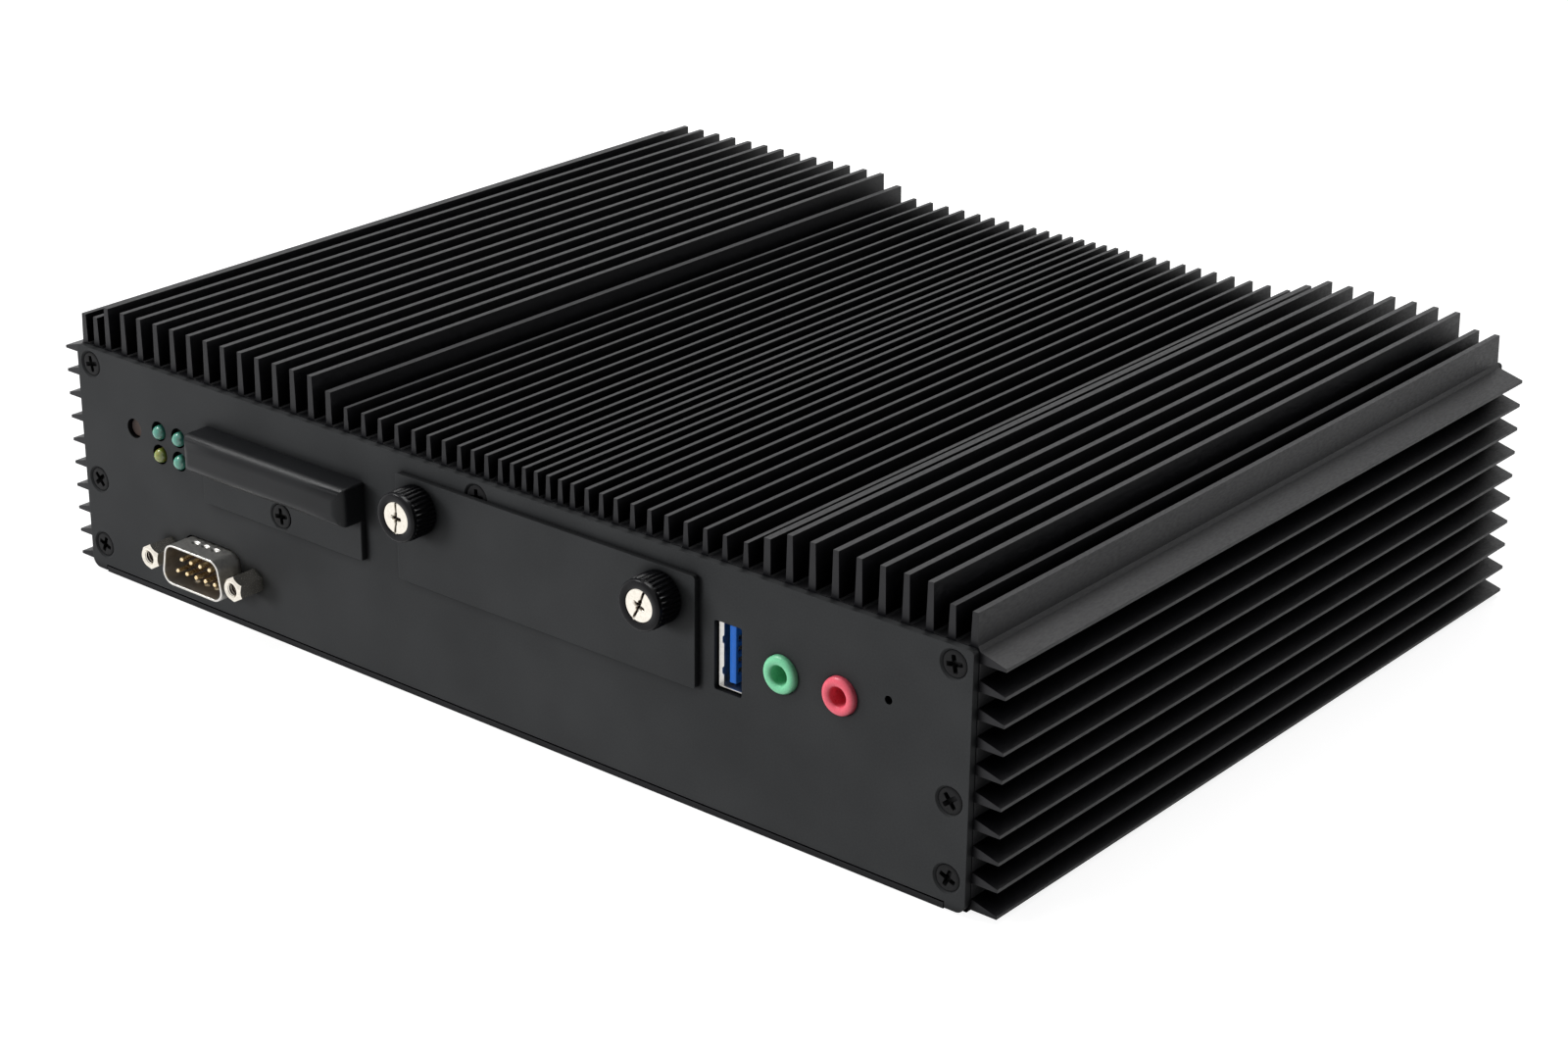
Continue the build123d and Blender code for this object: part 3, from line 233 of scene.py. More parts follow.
# Nickel plated steel, turned: warm bright metal, with a painted shade down its bores and slots.
nickel_plate = finish(
    "nickel_plated_steel_turned", "#E0DACE", "#F0EADF", 0.5, (0.14, 0.24), 0.0008,
    painted_shade=(3.0, "#33281F"), metallic=1.0,
)
# Gold flashed brass pins, drawn: soft yellow metal, with a painted shade where its own surfaces
# stand close.
gold_plate = finish(
    "gold_flashed_brass_drawn", "#EED29E", "#FFEFCC", 0.3, (0.2, 0.3), 0.0008,
    painted_shade=(2.5, "#241708"), metallic=1.0,
)
# Clear epoxy, cast with a green tint: light enters the dome and spreads, so it glows at one side.
green_lens = finish(
    "tinted_epoxy_cast_green", "#4A9482", "#5CA693", 0.6, (0.08, 0.16), 0.001,
    subsurface_weight=0.35, subsurface_scale=0.0015, coat_weight=0.5,
)
# Clear epoxy, cast with an olive yellow tint.
yellow_lens = finish(
    "tinted_epoxy_cast_yellow", "#7F8838", "#99A24C", 0.6, (0.08, 0.16), 0.001,
    subsurface_weight=0.35, subsurface_scale=0.0015, coat_weight=0.5,
)
# Polybutylene moulded blue: satin with a faint flow mottle.
blue_tongue = finish(
    "polybutylene_moulded_blue", "#1A62C0", "#226ECC", 0.3, (0.3, 0.45), 0.005,
    specular_ior_level=0.4,
)
# Polybutylene moulded light green: a faint flow mottle, and a painted shade of deep green down the
# bore.
green_ring = finish(
    "polybutylene_moulded_light_green", "#72C99A", "#84D8A8", 0.3, (0.25, 0.4), 0.005,
    painted_shade=(2.6, "#06402A"),
)
# Polybutylene moulded pink: a faint flow mottle, and a painted shade of deep red down the bore.
pink_ring = finish(
    "polybutylene_moulded_pink", "#E8586A", "#F06A7C", 0.3, (0.25, 0.4), 0.005,
    painted_shade=(2.6, "#6A0818"),
)
# Glass epoxy board under green lacquer: a faint mottle under a clear coat.
board_green = finish(
    "glass_epoxy_board_lacquered_green", "#0E3A22", "#16502F", 0.5, (0.3, 0.42), 0.008,
    coat_weight=0.3,
)
# Zinc plated steel sheet: grey metal with a grain drawn out by rolling.
zinc_plate = finish(
    "zinc_plated_steel_rolled", "#A3A4A5", "#ADAEAE", 0.4, (0.28, 0.44), 0.005,
    stretch=(1, 0.1, 1), metallic=1.0,
)
# Aluminium, machined: a grain of 0.3 mm drawn out upwards by the tool.
bare_aluminium = finish(
    "aluminium_machined_bare", "#BFC1C3", "#CACCCD", 0.3, (0.24, 0.38), 0.005,
    stretch=(1, 1, 0.1), metallic=1.0,
)
# Silicone pad, calendered: soft grey rubber.
heat_pad = finish("silicone_pad_calendered_grey", "#7C8288", "#8E949A", 0.4, (0.7, 0.85), 0.01)
# Anodised aluminium, turned and knurled, dyed black: glossier than the extrusion, its crests
# a little lighter, part wear and part painted highlight.
black_knob = finish(
    "black_anodised_aluminium_knurled", "#0D0D0F", "#141417", 0.2, (0.17, 0.26), 0.003,
    edge=(0.1, "#26272B"), specular_ior_level=0.14,
)
# Spring steel wire, drawn and oiled.
spring_steel = finish(
    "spring_steel_wire_drawn", "#8F8C86", "#A6A39C", 0.15, (0.25, 0.38), 0.003, metallic=1.0,
)
finish_of = {
    "black_anodised": black_anodised,
    "black_coated_sheet": black_coat,
    "black_screws": black_oxide,
    "black_plastic": black_nylon,
    "button_plastic": brown_button,
    "tin_plate": tin_plate,
    "nickel_plate": nickel_plate,
    "gold_plate": gold_plate,
    "green_lens": green_lens,
    "yellow_lens": yellow_lens,
    "blue_plastic": blue_tongue,
    "green_plastic": green_ring,
    "pink_plastic": pink_ring,
    "circuit_board": board_green,
    "zinc_plate": zinc_plate,
    "bare_aluminium": bare_aluminium,
    "heat_pad": heat_pad,
    "knob_aluminium": black_knob,
    "spring_steel": spring_steel,
}
for row in frame["record"]["subparts"]:
    frame["nodes"][row["node"]].data.materials.clear()
    frame["nodes"][row["node"]].data.materials.append(finish_of[row["material_slot"]])


# ---- outlines in X and Z, in millimetres ----
def place_of(node):
    """A CAD node's middle, lowest and highest corner in millimetres."""
    low, high = (np.array(c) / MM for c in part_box(node))
    return (low + high) / 2, low, high


def circle(x, z, radius, count=48):
    """A circle as a function of how far it is grown: the middle plus radius and growth times
    (cos, sin) of an angle that goes once round."""
    angle = np.linspace(0, 2 * np.pi, count, endpoint=False)
    way = np.column_stack([np.cos(angle), np.sin(angle)])
    return lambda grown: np.array([x, z]) + (radius + grown) * way


def rounded(corners, radius, arc=6, side=4):
    """A convex outline with rounded corners, as a function of how far it is grown. A corner's arc
    is its centre plus (radius + growth) times a normal that turns from the side before to the side
    after; the sides between the arcs are divided evenly. Past its radius a corner stays sharp."""
    p = np.array(corners, float)
    before = p - np.roll(p, 1, 0)
    after = np.roll(before, -1, 0)
    normal = [
        np.column_stack([v[:, 1], -v[:, 0]]) / np.linalg.norm(v, axis=1)[:, None]
        for v in (before, after)
    ]
    mitre = (normal[0] + normal[1]) / (1 + (normal[0] * normal[1]).sum(1))[:, None]
    start, end = (np.arctan2(n[:, 1], n[:, 0]) for n in normal)
    turn = np.mod(end - start, 2 * np.pi)
    angle = start[:, None] + turn[:, None] * np.linspace(0, 1, arc)
    way = np.stack([np.cos(angle), np.sin(angle)], 2)
    share = np.linspace(0, 1, side + 2)[1:-1, None]

    def outline(grown):
        reach = max(radius + grown, 0)
        arcs = (p + mitre * (grown - reach))[:, None] + reach * way
        first, last = arcs[:, -1:], np.roll(arcs[:, :1], -1, 0)
        return np.concatenate([arcs, first + (last - first) * share], 1).reshape(-1, 2)

    return outline


def rectangle(x, z, width, height, radius, arc=6, side=4):
    """A rounded rectangle about a middle point."""
    w, h = width / 2, height / 2
    corners = [(x - w, z - h), (x + w, z - h), (x + w, z + h), (x - w, z + h)]
    return rounded(corners, radius, arc, side)


# ---- grids of points ----
# A point of a disc past this share of its radius is on its rim; points nearer to each other than
# this distance in metres become one.
rim_share = 0.999
merge_distance = 1e-7


def ramp(room, width):
    """How far the room has come from nothing to the width, as a share from 0 to 1."""
    return np.clip(room / width, 0, 1)


def at_depth(flat, y):
    """The (X, Z) points of an outline as points of space at one depth."""
    return np.column_stack([flat[:, 0], np.full(len(flat), y), flat[:, 1]])


def ring(x, z, radius, angle, y):
    """Points about an axis along Y, at one depth: the axis plus the radius, which may change with
    the angle, times (cos, sin) of the angle."""
    return at_depth(np.column_stack([x + radius * np.cos(angle), z + radius * np.sin(angle)]), y)


def capped(rings):
    """Rings with one more before and after, shrunk to the middle of the end that it closes."""
    first, last = (rings[:1] * 0 + end.mean(0) for end in (rings[0], rings[-1]))
    return np.concatenate([first, rings, last])


def carried(outline, stations, ends=True):
    """A closed outline carried along Y. Each station is (growth, depth): the outline grown by the
    first number at the depth of the second. With ends the first and the last ring shrink to their
    middles; without, the last ring joins the first, as in a tube with a wall."""
    rings = np.array([at_depth(outline(grown), y) for grown, y in stations])
    return (capped(rings) if ends else rings), not ends, True


def disc(x, z, radius, front, rim, back, fine, turn):
    """A round plate with a worked front. A square grid (u, v) is bent into a circle by
    u·sqrt(1 − v²/2) and v·sqrt(1 − u²/2); the front's depth is a function of the two, and the back
    goes from the rim's depth straight to back at the middle. fine lists the grid lines, from −1 to
    1; turn is the angle by which the pattern is turned, in degrees."""
    u, v = np.meshgrid(fine, fine, indexing="ij")
    a, b = radius * u * np.sqrt(1 - v * v / 2), radius * v * np.sqrt(1 - u * u / 2)
    off = np.hypot(a, b) / radius
    c, s = math.cos(math.radians(turn)), math.sin(math.radians(turn))
    px, pz = x + c * a - s * b, z + s * a + c * b
    top = np.where(off > rim_share, rim, front(a, b))
    under = rim + (back - rim) * np.clip(1 - off, 0, 1)
    return [(np.stack([px, y, pz], 2), False, False) for y in (top, under)]


def grid_lines(count, *extra):
    """Evenly spaced lines from −1 to 1 with extra ones, on both sides of the middle."""
    lines = np.concatenate([np.linspace(-1, 1, count), extra, -np.array(extra)])
    return np.unique(np.round(lines, 5))


def fillet_steps(y, radius, count=5):
    """Stations of a rounded rim that looks to the front: a quarter circle from the outside wall,
    radius behind the face at depth y, to the face itself, radius inside the wall."""
    angle = np.linspace(0, np.pi / 2, count)
    return [(-radius * (1 - math.cos(a)), y + radius * (1 - math.sin(a))) for a in angle]


def lip_steps(y, wall, count):
    """Stations of a wall's round lip: half a circle from the wall's outside, over its tip at depth
    y, to its inside."""
    angle = np.linspace(0, np.pi, count)
    return [(wall / 2 * (math.cos(a) - 1), y + wall / 2 * (1 - math.sin(a))) for a in angle]


def add_piece(name, grids, slot, body, stands_for=(), sharp=35.0, material=None):
    """Makes one closed mesh in metres from grids of points in millimetres, each (points, rows
    closed, columns closed): a face joins four neighbours of a grid, doubled points are merged, so
    poles and seams close, and the faces are turned outwards. Edges that turn by more than sharp
    degrees stay sharp. The slot's own finish is used unless a material is given."""
    verts, faces, base = [], [], 0
    for points, rows_closed, columns_closed in grids:
        m, n = points.shape[:2]
        rows = np.arange(m if rows_closed else m - 1)
        columns = np.arange(n if columns_closed else n - 1)
        i, j = np.meshgrid(rows, columns, indexing="ij")
        i1, j1 = (i + 1) % m, (j + 1) % n
        corners = [i * n + j, i * n + j1, i1 * n + j1, i1 * n + j]
        faces.append(np.stack(corners, 2).reshape(-1, 4) + base)
        verts.append(points.reshape(-1, 3) * MM)
        base += m * n
    mesh = bpy.data.meshes.new(name)
    mesh.from_pydata(np.concatenate(verts).tolist(), [], np.concatenate(faces).tolist())
    shape = bmesh.new()
    shape.from_mesh(mesh)
    bmesh.ops.remove_doubles(shape, verts=shape.verts, dist=merge_distance)
    bmesh.ops.recalc_face_normals(shape, faces=shape.faces)
    shape.to_mesh(mesh)
    shape.free()
    mesh.polygons.foreach_set("use_smooth", np.ones(len(mesh.polygons), bool))
    mesh.set_sharp_from_angle(angle=math.radians(sharp))
    mesh.materials.append(material or finish_of[slot])
    piece = bpy.data.objects.new(name, mesh)
    bpy.context.scene.collection.objects.link(piece)
    if body:
        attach(piece, body)
    if stands_for:
        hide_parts(*stands_for)
    return piece


# ---- countersunk screws ----
screw_r, screw_seat_r = 2.45, 2.7
screw_edge, screw_crown = 0.15, 0.35
screw_cone, screw_length = 2.2, 8.0
cross_length, cross_half, cross_depth = 3.4, 0.45, 1.5
cross_flank, cross_slope = 0.08, 0.18
screw_lines = grid_lines(21, cross_half / screw_r, (cross_half - cross_flank) / screw_r)
shank_r, shank_from, thread_from = 1.19, 1.2, 1.6
thread_pitch, thread_depth = 0.5, 0.12


def cross_recess(a, b):
    """Depth of a cross recess: an arm is deep at the middle and slopes up to its ends, with steep
    flanks; the deeper of the two arms counts."""
    def arm(along, across):
        flank = ramp(cross_half - np.abs(across), cross_flank)
        return flank * ramp(cross_length / 2 - np.abs(along), cross_slope * cross_length)

    return cross_depth * np.maximum(arm(a, b), arm(b, a))


def countersunk_screw(x, z, face, out, turn):
    """A flat head with a rounded rim and a cross recess, its cone, and a threaded shank whose
    radius swings by 0.12 mm once every half millimetre. out is −1 where the head looks to the
    front; turn is in degrees."""
    def front(a, b):
        crown = screw_edge * ramp(np.hypot(a, b) - screw_r + screw_crown, screw_crown) ** 2
        return face - out * (crown + cross_recess(a, b))

    rim, back = face - out * screw_edge, face - out * screw_cone
    head = disc(x, z, screw_r, front, rim, back, screw_lines, turn)
    y = np.arange(shank_from, screw_length, thread_pitch / 4)
    swing = 1 - np.cos(2 * np.pi * y / thread_pitch)
    radii = shank_r - thread_depth / 2 * swing * (y > thread_from)
    stations = [(r, face - out * d) for r, d in zip(radii, y)]
    return head + [carried(circle(x, z, 0, count=16), stations)]


face_y = place_of("front_panel")[1][1]
rear_y = place_of("rear_panel")[2][1]
screws_low, screws_high = place_of("front_panel_screws")[1:]
screw_x = screws_high[0] - screw_seat_r
screw_middle, screw_sunk = 20.7, 0.2
screw_levels = (screws_high[2] - screw_seat_r, screw_middle, screws_low[2] + screw_seat_r)
panel_screws = [(x, z) for x in (-screw_x, screw_x) for z in screw_levels]
panel_screws.append((0.0, screw_levels[0]))
first_turn, turn_step = 13, 29
for name, face, out in (("front", face_y + screw_sunk, -1), ("rear", rear_y - screw_sunk, 1)):
    grids = []
    for k, (x, z) in enumerate(panel_screws):
        grids += countersunk_screw(x, z, face, out, first_turn + turn_step * k)
    add_piece(
        name + "_panel_screws_cross_recessed", grids, "black_screws", "case",
        [name + "_panel_screws"],
    )
card_screw, card_screw_low = place_of("card_cover_screw")[:2]
card_screw_turn = 8.0
add_piece(
    "card_cover_screw_cross_recessed",
    countersunk_screw(card_screw[0], card_screw[2], card_screw_low[1], -1, card_screw_turn),
    "black_screws", "case", ["card_cover_screw"],
)

# ---- thumbscrews ----
knurls, knurl_depth, knurl_flat, tooth_points = 32, 0.35, 1.5, 8
knob_r, collar_r, groove_r = 5.0, 4.85, 4.7
collar, knob_nose, knob_edge, knurl_fade = 1.25, 0.55, 0.25, 0.3
groove_width, groove_slope, seat_chamfer, seat_lead = 0.08, 0.2, 0.15, 0.12
seat_r, seat_depth, shank_hole_r, well_r, well_from = 3.25, 2.2, 1.55, 3.1, 2.8
insert_r, insert_edge, insert_crown, insert_back = 3.22, 0.15, 0.4, 2.15
slot_half, slot_depth, slot_flank = 0.24, 0.6, 0.1
star_half, star_depth, star_flank = 0.42, 0.9, 0.3
star_r, star_slope = 1.45, 0.6
insert_lines = grid_lines(57)
stud_r, stud_thread, stud_thread_from, stud_length = 1.45, 0.16, 9.1, 12.1
stud_plain = [2.0, 7.2, 9.0]
spring_r, wire, spring_turns, spring_flat = 2.35, 0.45, 4.0, 0.5
turn_points, wire_points = 40, 10


def knurled_knob(x, z, low, high):
    """A knob whose radius is 5 mm less a straight knurl: a wave of 32 teeth, 0.35 mm deep, that
    fades in behind the smooth collar and out before the base. The inside is the seat of the
    insert, the shank's hole and the spring's well, in one closed profile of (radius, depth, share
    of the knurl's depth that is taken off the radius)."""
    angle = np.linspace(0, 2 * np.pi, knurls * tooth_points, endpoint=False)
    tooth = np.abs(np.mod(angle * knurls / (2 * np.pi), 1) * 2 - 1)
    depth = knurl_depth * np.clip(tooth * knurl_flat, 0, 1)
    behind = low + collar
    profile = [
        (knob_r - knob_edge, high, 0),
        (knob_r, high - knob_edge, 1),
        (knob_r, behind + knurl_fade, 1),
        (collar_r, behind, 0.4),
        (groove_r, behind - groove_width, 0),
        (collar_r, behind - groove_slope, 0),
    ]
    profile += [(collar_r + inwards, y, 0) for inwards, y in fillet_steps(low, knob_nose, count=7)]
    profile += [
        (seat_r + seat_chamfer, low, 0),
        (seat_r, low + seat_lead, 0),
        (seat_r, low + seat_depth, 0),
        (shank_hole_r, low + seat_depth, 0),
        (shank_hole_r, low + well_from, 0),
        (well_r, low + well_from, 0),
        (well_r, high, 0),
    ]
    rings = [ring(x, z, r - depth * share, angle, y) for r, y, share in profile]
    return [(np.array(rings), True, True)]


def slotted_insert(x, z, low, turn):
    """A flat steel head with a slot right across and a cross recess in its middle, over a plain
    shank whose end is threaded: its radius swings by 0.16 mm once every half millimetre."""
    def front(a, b):
        off = np.hypot(a, b)
        crown = insert_edge * ramp(off - insert_r + insert_crown, insert_crown) ** 2
        slot = slot_depth * ramp(slot_half - np.abs(a), slot_flank)
        arms = ramp(star_half - np.minimum(np.abs(a), np.abs(b)), star_flank)
        star = star_depth * arms * ramp(star_r - off, star_slope)
        return low + insert_edge + crown + np.maximum(slot, star)

    rim, back = low + 2 * insert_edge, low + insert_back
    head = disc(x, z, insert_r, front, rim, back, insert_lines, turn)
    threaded = np.arange(stud_thread_from + 0.1, stud_length, thread_pitch / 4)
    y = np.concatenate([stud_plain, threaded])
    swing = 1 - np.cos(2 * np.pi * y / thread_pitch)
    radii = np.where(y > stud_thread_from, stud_r - stud_thread / 2 * swing, stud_r)
    return head + [carried(circle(x, z, 0, count=24), list(zip(radii, low + y)))]


def coil(x, z, y0, y1):
    """Round wire on a helix: the middle of the wire goes round the axis at the radius while its
    depth runs from y0 to y1, except over the first and last half turn, which lie flat; the wire's
    own circle stands on the radial and the axial direction."""
    t = np.linspace(0, 1, int(spring_turns * turn_points))
    phase = 2 * np.pi * spring_turns * t
    depth = y0 + (y1 - y0) * ramp(t * spring_turns - spring_flat, spring_turns - 2 * spring_flat)
    psi = np.linspace(0, 2 * np.pi, wire_points, endpoint=False)
    r = spring_r + wire / 2 * np.cos(psi)[None, :] * np.ones((len(t), 1))
    y = depth[:, None] + wire / 2 * np.sin(psi)[None, :]
    rings = np.stack([x + r * np.cos(phase)[:, None], y, z + r * np.sin(phase)[:, None]], 2)
    return [(capped(rings), False, True)]


for side, turn in (("left", -3.0), ("right", -24.0)):
    middle, low, high = place_of("thumbscrew_knob_" + side)
    x, z = middle[0], middle[2]
    body = side + "_thumbscrew"
    add_piece(
        side + "_knurled_knob", knurled_knob(x, z, low[1], high[1]), "knob_aluminium", body,
        ["thumbscrew_knob_" + side], sharp=40.0,
    )
    add_piece(
        side + "_slotted_screw", slotted_insert(x, z, low[1], turn), "nickel_plate", body,
        ["thumbscrew_insert_" + side],
    )
    spring_low, spring_high = place_of("thumbscrew_spring_" + side)[1:]
    door_y, seat_y = spring_high[1], spring_low[1]
    piece = add_piece(
        side + "_wire_spring", coil(x, z, door_y - wire / 2, seat_y + wire / 2), "spring_steel",
        None, ["thumbscrew_spring_" + side],
    )
    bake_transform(piece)

# ---- lights and buttons ----
light_pitch_x, light_pitch_z = 5.9, 5.0


def lens(x, z, tip, radius, foot):
    """A rod with a half-sphere for its front: the radius times (sin, 1 − cos) of an angle that goes
    a quarter round."""
    angle = np.linspace(0, np.pi / 2, 12)
    dome = [(radius * (math.sin(a) - 1), tip + radius * (1 - math.cos(a))) for a in angle]
    return [carried(circle(x, z, radius, count=40), dome + [(0, foot)])]


yellow, yellow_low, yellow_high = place_of("yellow_light")
lens_r = (yellow_high[0] - yellow_low[0]) / 2
add_piece(
    "yellow_domed_light", lens(yellow[0], yellow[2], yellow_low[1], lens_r, yellow_high[1]),
    "yellow_lens", "case", ["yellow_light"],
)
grids = []
for dx, dz in ((0, light_pitch_z), (light_pitch_x, light_pitch_z), (light_pitch_x, 0)):
    grids += lens(yellow[0] + dx, yellow[2] + dz, yellow_low[1], lens_r, yellow_high[1])
add_piece("green_domed_lights", grids, "green_lens", "case", ["green_lights"])

button, button_low, button_high = place_of("power_button")
button_r, button_y = (button_high[0] - button_low[0]) / 2, button_low[1]
dish_depth, dish_from, dish_to = 0.25, 0.05, 0.85
button_rim, button_cap, stem_step = 0.2, 3.6, 0.7
# The dish is 0.25 mm deep at the middle, and less by the square of the share of the radius.
stations = [
    (-button_r * (1 - share), button_y + dish_depth * (1 - share * share))
    for share in np.linspace(dish_from, dish_to, 8)
]
stations += fillet_steps(button_y, button_rim)[::-1]
stations += [(0, button_y + button_cap), (-stem_step, button_y + button_cap)]
stations += [(-stem_step, button_high[1])]
add_piece(
    "power_button_dished", [carried(circle(button[0], button[2], button_r), stations)],
    "button_plastic", "power_button", ["power_button"],
)

# ---- serial port ----
serial, serial_low, serial_high = place_of("serial_insulator")
serial_x, serial_z = serial[0], serial[2]
serial_tip = place_of("serial_shell")[1][1]
serial_wall, serial_fit = 0.45, 0.03
shell_wide, shell_narrow, shell_half, shell_corner = 9.35, 7.75, 4.45, 2.6
shell_root, lip_run, shell_rows_outside, shell_rows_inside = 1.0, 0.5, 56, 22
flange_width, flange_height, flange_corner, flange_from, flange_to = 30.7, 12.5, 1.0, 1.5, 2.0
dimple_pitch, dimple_depth, dimple_from = 2.9, 0.4, 1.7
dimple_half_width, dimple_half_length, dimple_wall = 0.9, 0.62, 0.6
dimple_rim, dimple_slope = 1.15, 0.5
boss_r, boss_height, boss_slope, face_rows = 1.05, 0.15, 0.2, 60
pin_pitch, pin_row, pin_r = 2.77, 1.42, 0.5
pin_places = [(serial_x + (i - 1.5) * pin_pitch, serial_z + pin_row) for i in range(4)]
pin_places += [(serial_x + (i - 2) * pin_pitch, serial_z - pin_row) for i in range(5)]


def shell_outline():
    """The port's D shape, wide side down."""
    corners = [
        (-shell_wide, -shell_half), (shell_wide, -shell_half),
        (shell_narrow, shell_half), (-shell_narrow, shell_half),
    ]
    return rounded([(serial_x + a, serial_z + b) for a, b in corners], shell_corner, arc=8, side=56)


def serial_shell():
    """Drawn shell: straight wall, rolled lip, and three dimples pressed into the top wall and
    three into the bottom one near the panel, each an oval hollow with a flat floor 0.4 mm deep."""
    tip = serial_tip
    outside = np.linspace(face_y + shell_root, tip + lip_run, shell_rows_outside)
    inside = np.linspace(tip + lip_run, face_y + shell_root / 2, shell_rows_inside)
    walk = [(0, y) for y in outside] + lip_steps(tip, serial_wall, count=9)
    walk += [(-serial_wall, y) for y in inside]
    points, rows, columns = carried(shell_outline(), walk, ends=False)
    for dx in (-dimple_pitch, 0, dimple_pitch):
        for dz in (shell_half, -shell_half):
            off = np.hypot(
                (points[..., 0] - serial_x - dx) / dimple_half_width,
                (points[..., 1] - face_y + dimple_from) / dimple_half_length,
            )
            near = np.abs(points[..., 2] - serial_z - dz) < dimple_wall
            pressed = dimple_depth * near * ramp(dimple_rim - off, dimple_slope)
            points[..., 2] -= np.sign(dz) * pressed
    plate = carried(
        rectangle(serial_x, serial_z, flange_width, flange_height, flange_corner),
        [(0, face_y + flange_from), (0, face_y + flange_to)],
    )
    return [(points, rows, columns), plate]


def serial_face():
    """The insulator's face: the D shape shrunk towards its middle in even steps, with a low round
    boss of 0.15 mm about each pin."""
    outline = shell_outline()(-serial_wall - serial_fit)
    middle = np.array([serial_x, serial_z])
    flat = middle + np.linspace(1, 0, face_rows)[:, None, None] * (outline - middle)
    depth = np.full(flat.shape[:2], serial_low[1])
    for x, z in pin_places:
        off = np.hypot(flat[..., 0] - x, flat[..., 1] - z)
        depth = depth - boss_height * ramp(boss_r - off, boss_slope)
    front = np.stack([flat[..., 0], depth + boss_height, flat[..., 1]], 2)
    back = front[::face_rows - 1].copy()
    back[..., 1] = serial_high[1]
    return [(np.concatenate([back[::-1], front]), False, True)]


add_piece(
    "serial_shell_rolled", serial_shell(), "tin_plate", "case", ["serial_shell"], sharp=50.0
)
add_piece(
    "serial_insulator_bossed", serial_face(), "black_plastic", "case", ["serial_insulator"],
    material=brown_insulator,
)
pins_low, pins_high = place_of("serial_pins")[1:]
tip = [
    (pin_r * (math.sin(a) - 1), pins_low[1] + pin_r * (1 - math.cos(a)))
    for a in np.linspace(0.1, np.pi / 2, 6)
]
stations = tip + [(0, pins_high[1])]
grids = [carried(circle(x, z, pin_r, count=20), stations) for x, z in pin_places]
add_piece("serial_pins_round_tipped", grids, "gold_plate", "case", ["serial_pins"])

jack_spacing, jack_flat, jack_stud_r = 24.99, 2.38, 1.4
jack_bevel_r, jack_sink_r, jack_bore_r, jack_bore = 2.0, 1.6, 1.25, 4.9
jack_pitch, jack_thread, jack_thread_from = 0.64, 0.1, 0.4
jack_bevel, jack_sink, jack_sink_depth, jack_points = 0.9, 0.05, 0.3, 72


def jackscrew(x, z, low, base, high):
    """A hexagon standoff: the six sides, a front cut back by a cone outside 2.0 mm, a countersunk
    and threaded bore whose radius swings by 0.1 mm either way every 0.64 mm, and the stud behind.
    The outline blends from hexagon to circle across the face."""
    angle = np.linspace(0, 2 * np.pi, jack_points, endpoint=False)
    lean = np.mod(angle + np.pi / 6, np.pi / 3) - np.pi / 6
    hexagon = jack_flat / np.cos(lean)
    rows = [(0, high), (jack_stud_r, high), (jack_stud_r, base), (hexagon, base)]
    for share in np.linspace(1, 0, 9):
        radius = share * hexagon + (1 - share) * jack_sink_r
        rows.append((radius, low + jack_bevel * np.clip(radius - jack_bevel_r, 0, 1)))
    rows.append((jack_bore_r + jack_sink, low + jack_sink_depth))
    for y in np.arange(jack_thread_from, jack_bore - 0.1, jack_pitch / 4):
        rows.append((jack_bore_r - jack_thread * np.cos(2 * np.pi * y / jack_pitch), low + y))
    rows.append((0, low + jack_bore))
    return [(np.array([ring(x, z, r, angle, y) for r, y in rows]), False, True)]


jacks_low, jacks_high = place_of("serial_jackscrews")[1:]
grids = []
for x in (serial_x - jack_spacing / 2, serial_x + jack_spacing / 2):
    grids += jackscrew(x, serial_z, jacks_low[1], face_y, jacks_high[1])
add_piece(
    "serial_jackscrews_threaded", grids, "nickel_plate", "case", ["serial_jackscrews"], sharp=28.0
)

# ---- audio jacks ----
bore_r, ring_fillet, ring_wall = 1.8, 0.9, 0.95
bore_mouth = [(0.6, 0.02), (0.3, 0.14), (0.08, 0.38), (0, 0.7)]
for node, slot in (
    ("audio_jack_output", "green_plastic"), ("audio_jack_microphone", "pink_plastic")
):
    middle, low, high = place_of(node)
    ring_r = (high[0] - low[0]) / 2
    walk = [(0, high[1]), (0, low[1] + ring_wall)]
    walk += fillet_steps(low[1], ring_fillet, count=9)[1:]
    walk += [(bore_r + wider - ring_r, low[1] + y) for wider, y in bore_mouth]
    walk += [(bore_r - ring_r, high[1])]
    add_piece(
        node + "_ring",
        [carried(circle(middle[0], middle[2], ring_r, count=64), walk, ends=False)],
        slot, "case", [node], sharp=40.0,
    )

# ---- card cover ----
box_height, box_rim, box_corner = 8.0, 2.5, 0.5
cover_flange, cover_corner, cover_edge, cover_chamfer = 1.3, 0.2, 0.15, 0.12
sink_mouth_r, sink_r, sink_lead, sink_depth, card_hole_r = 3.0, 2.92, 0.06, 1.25, 1.65


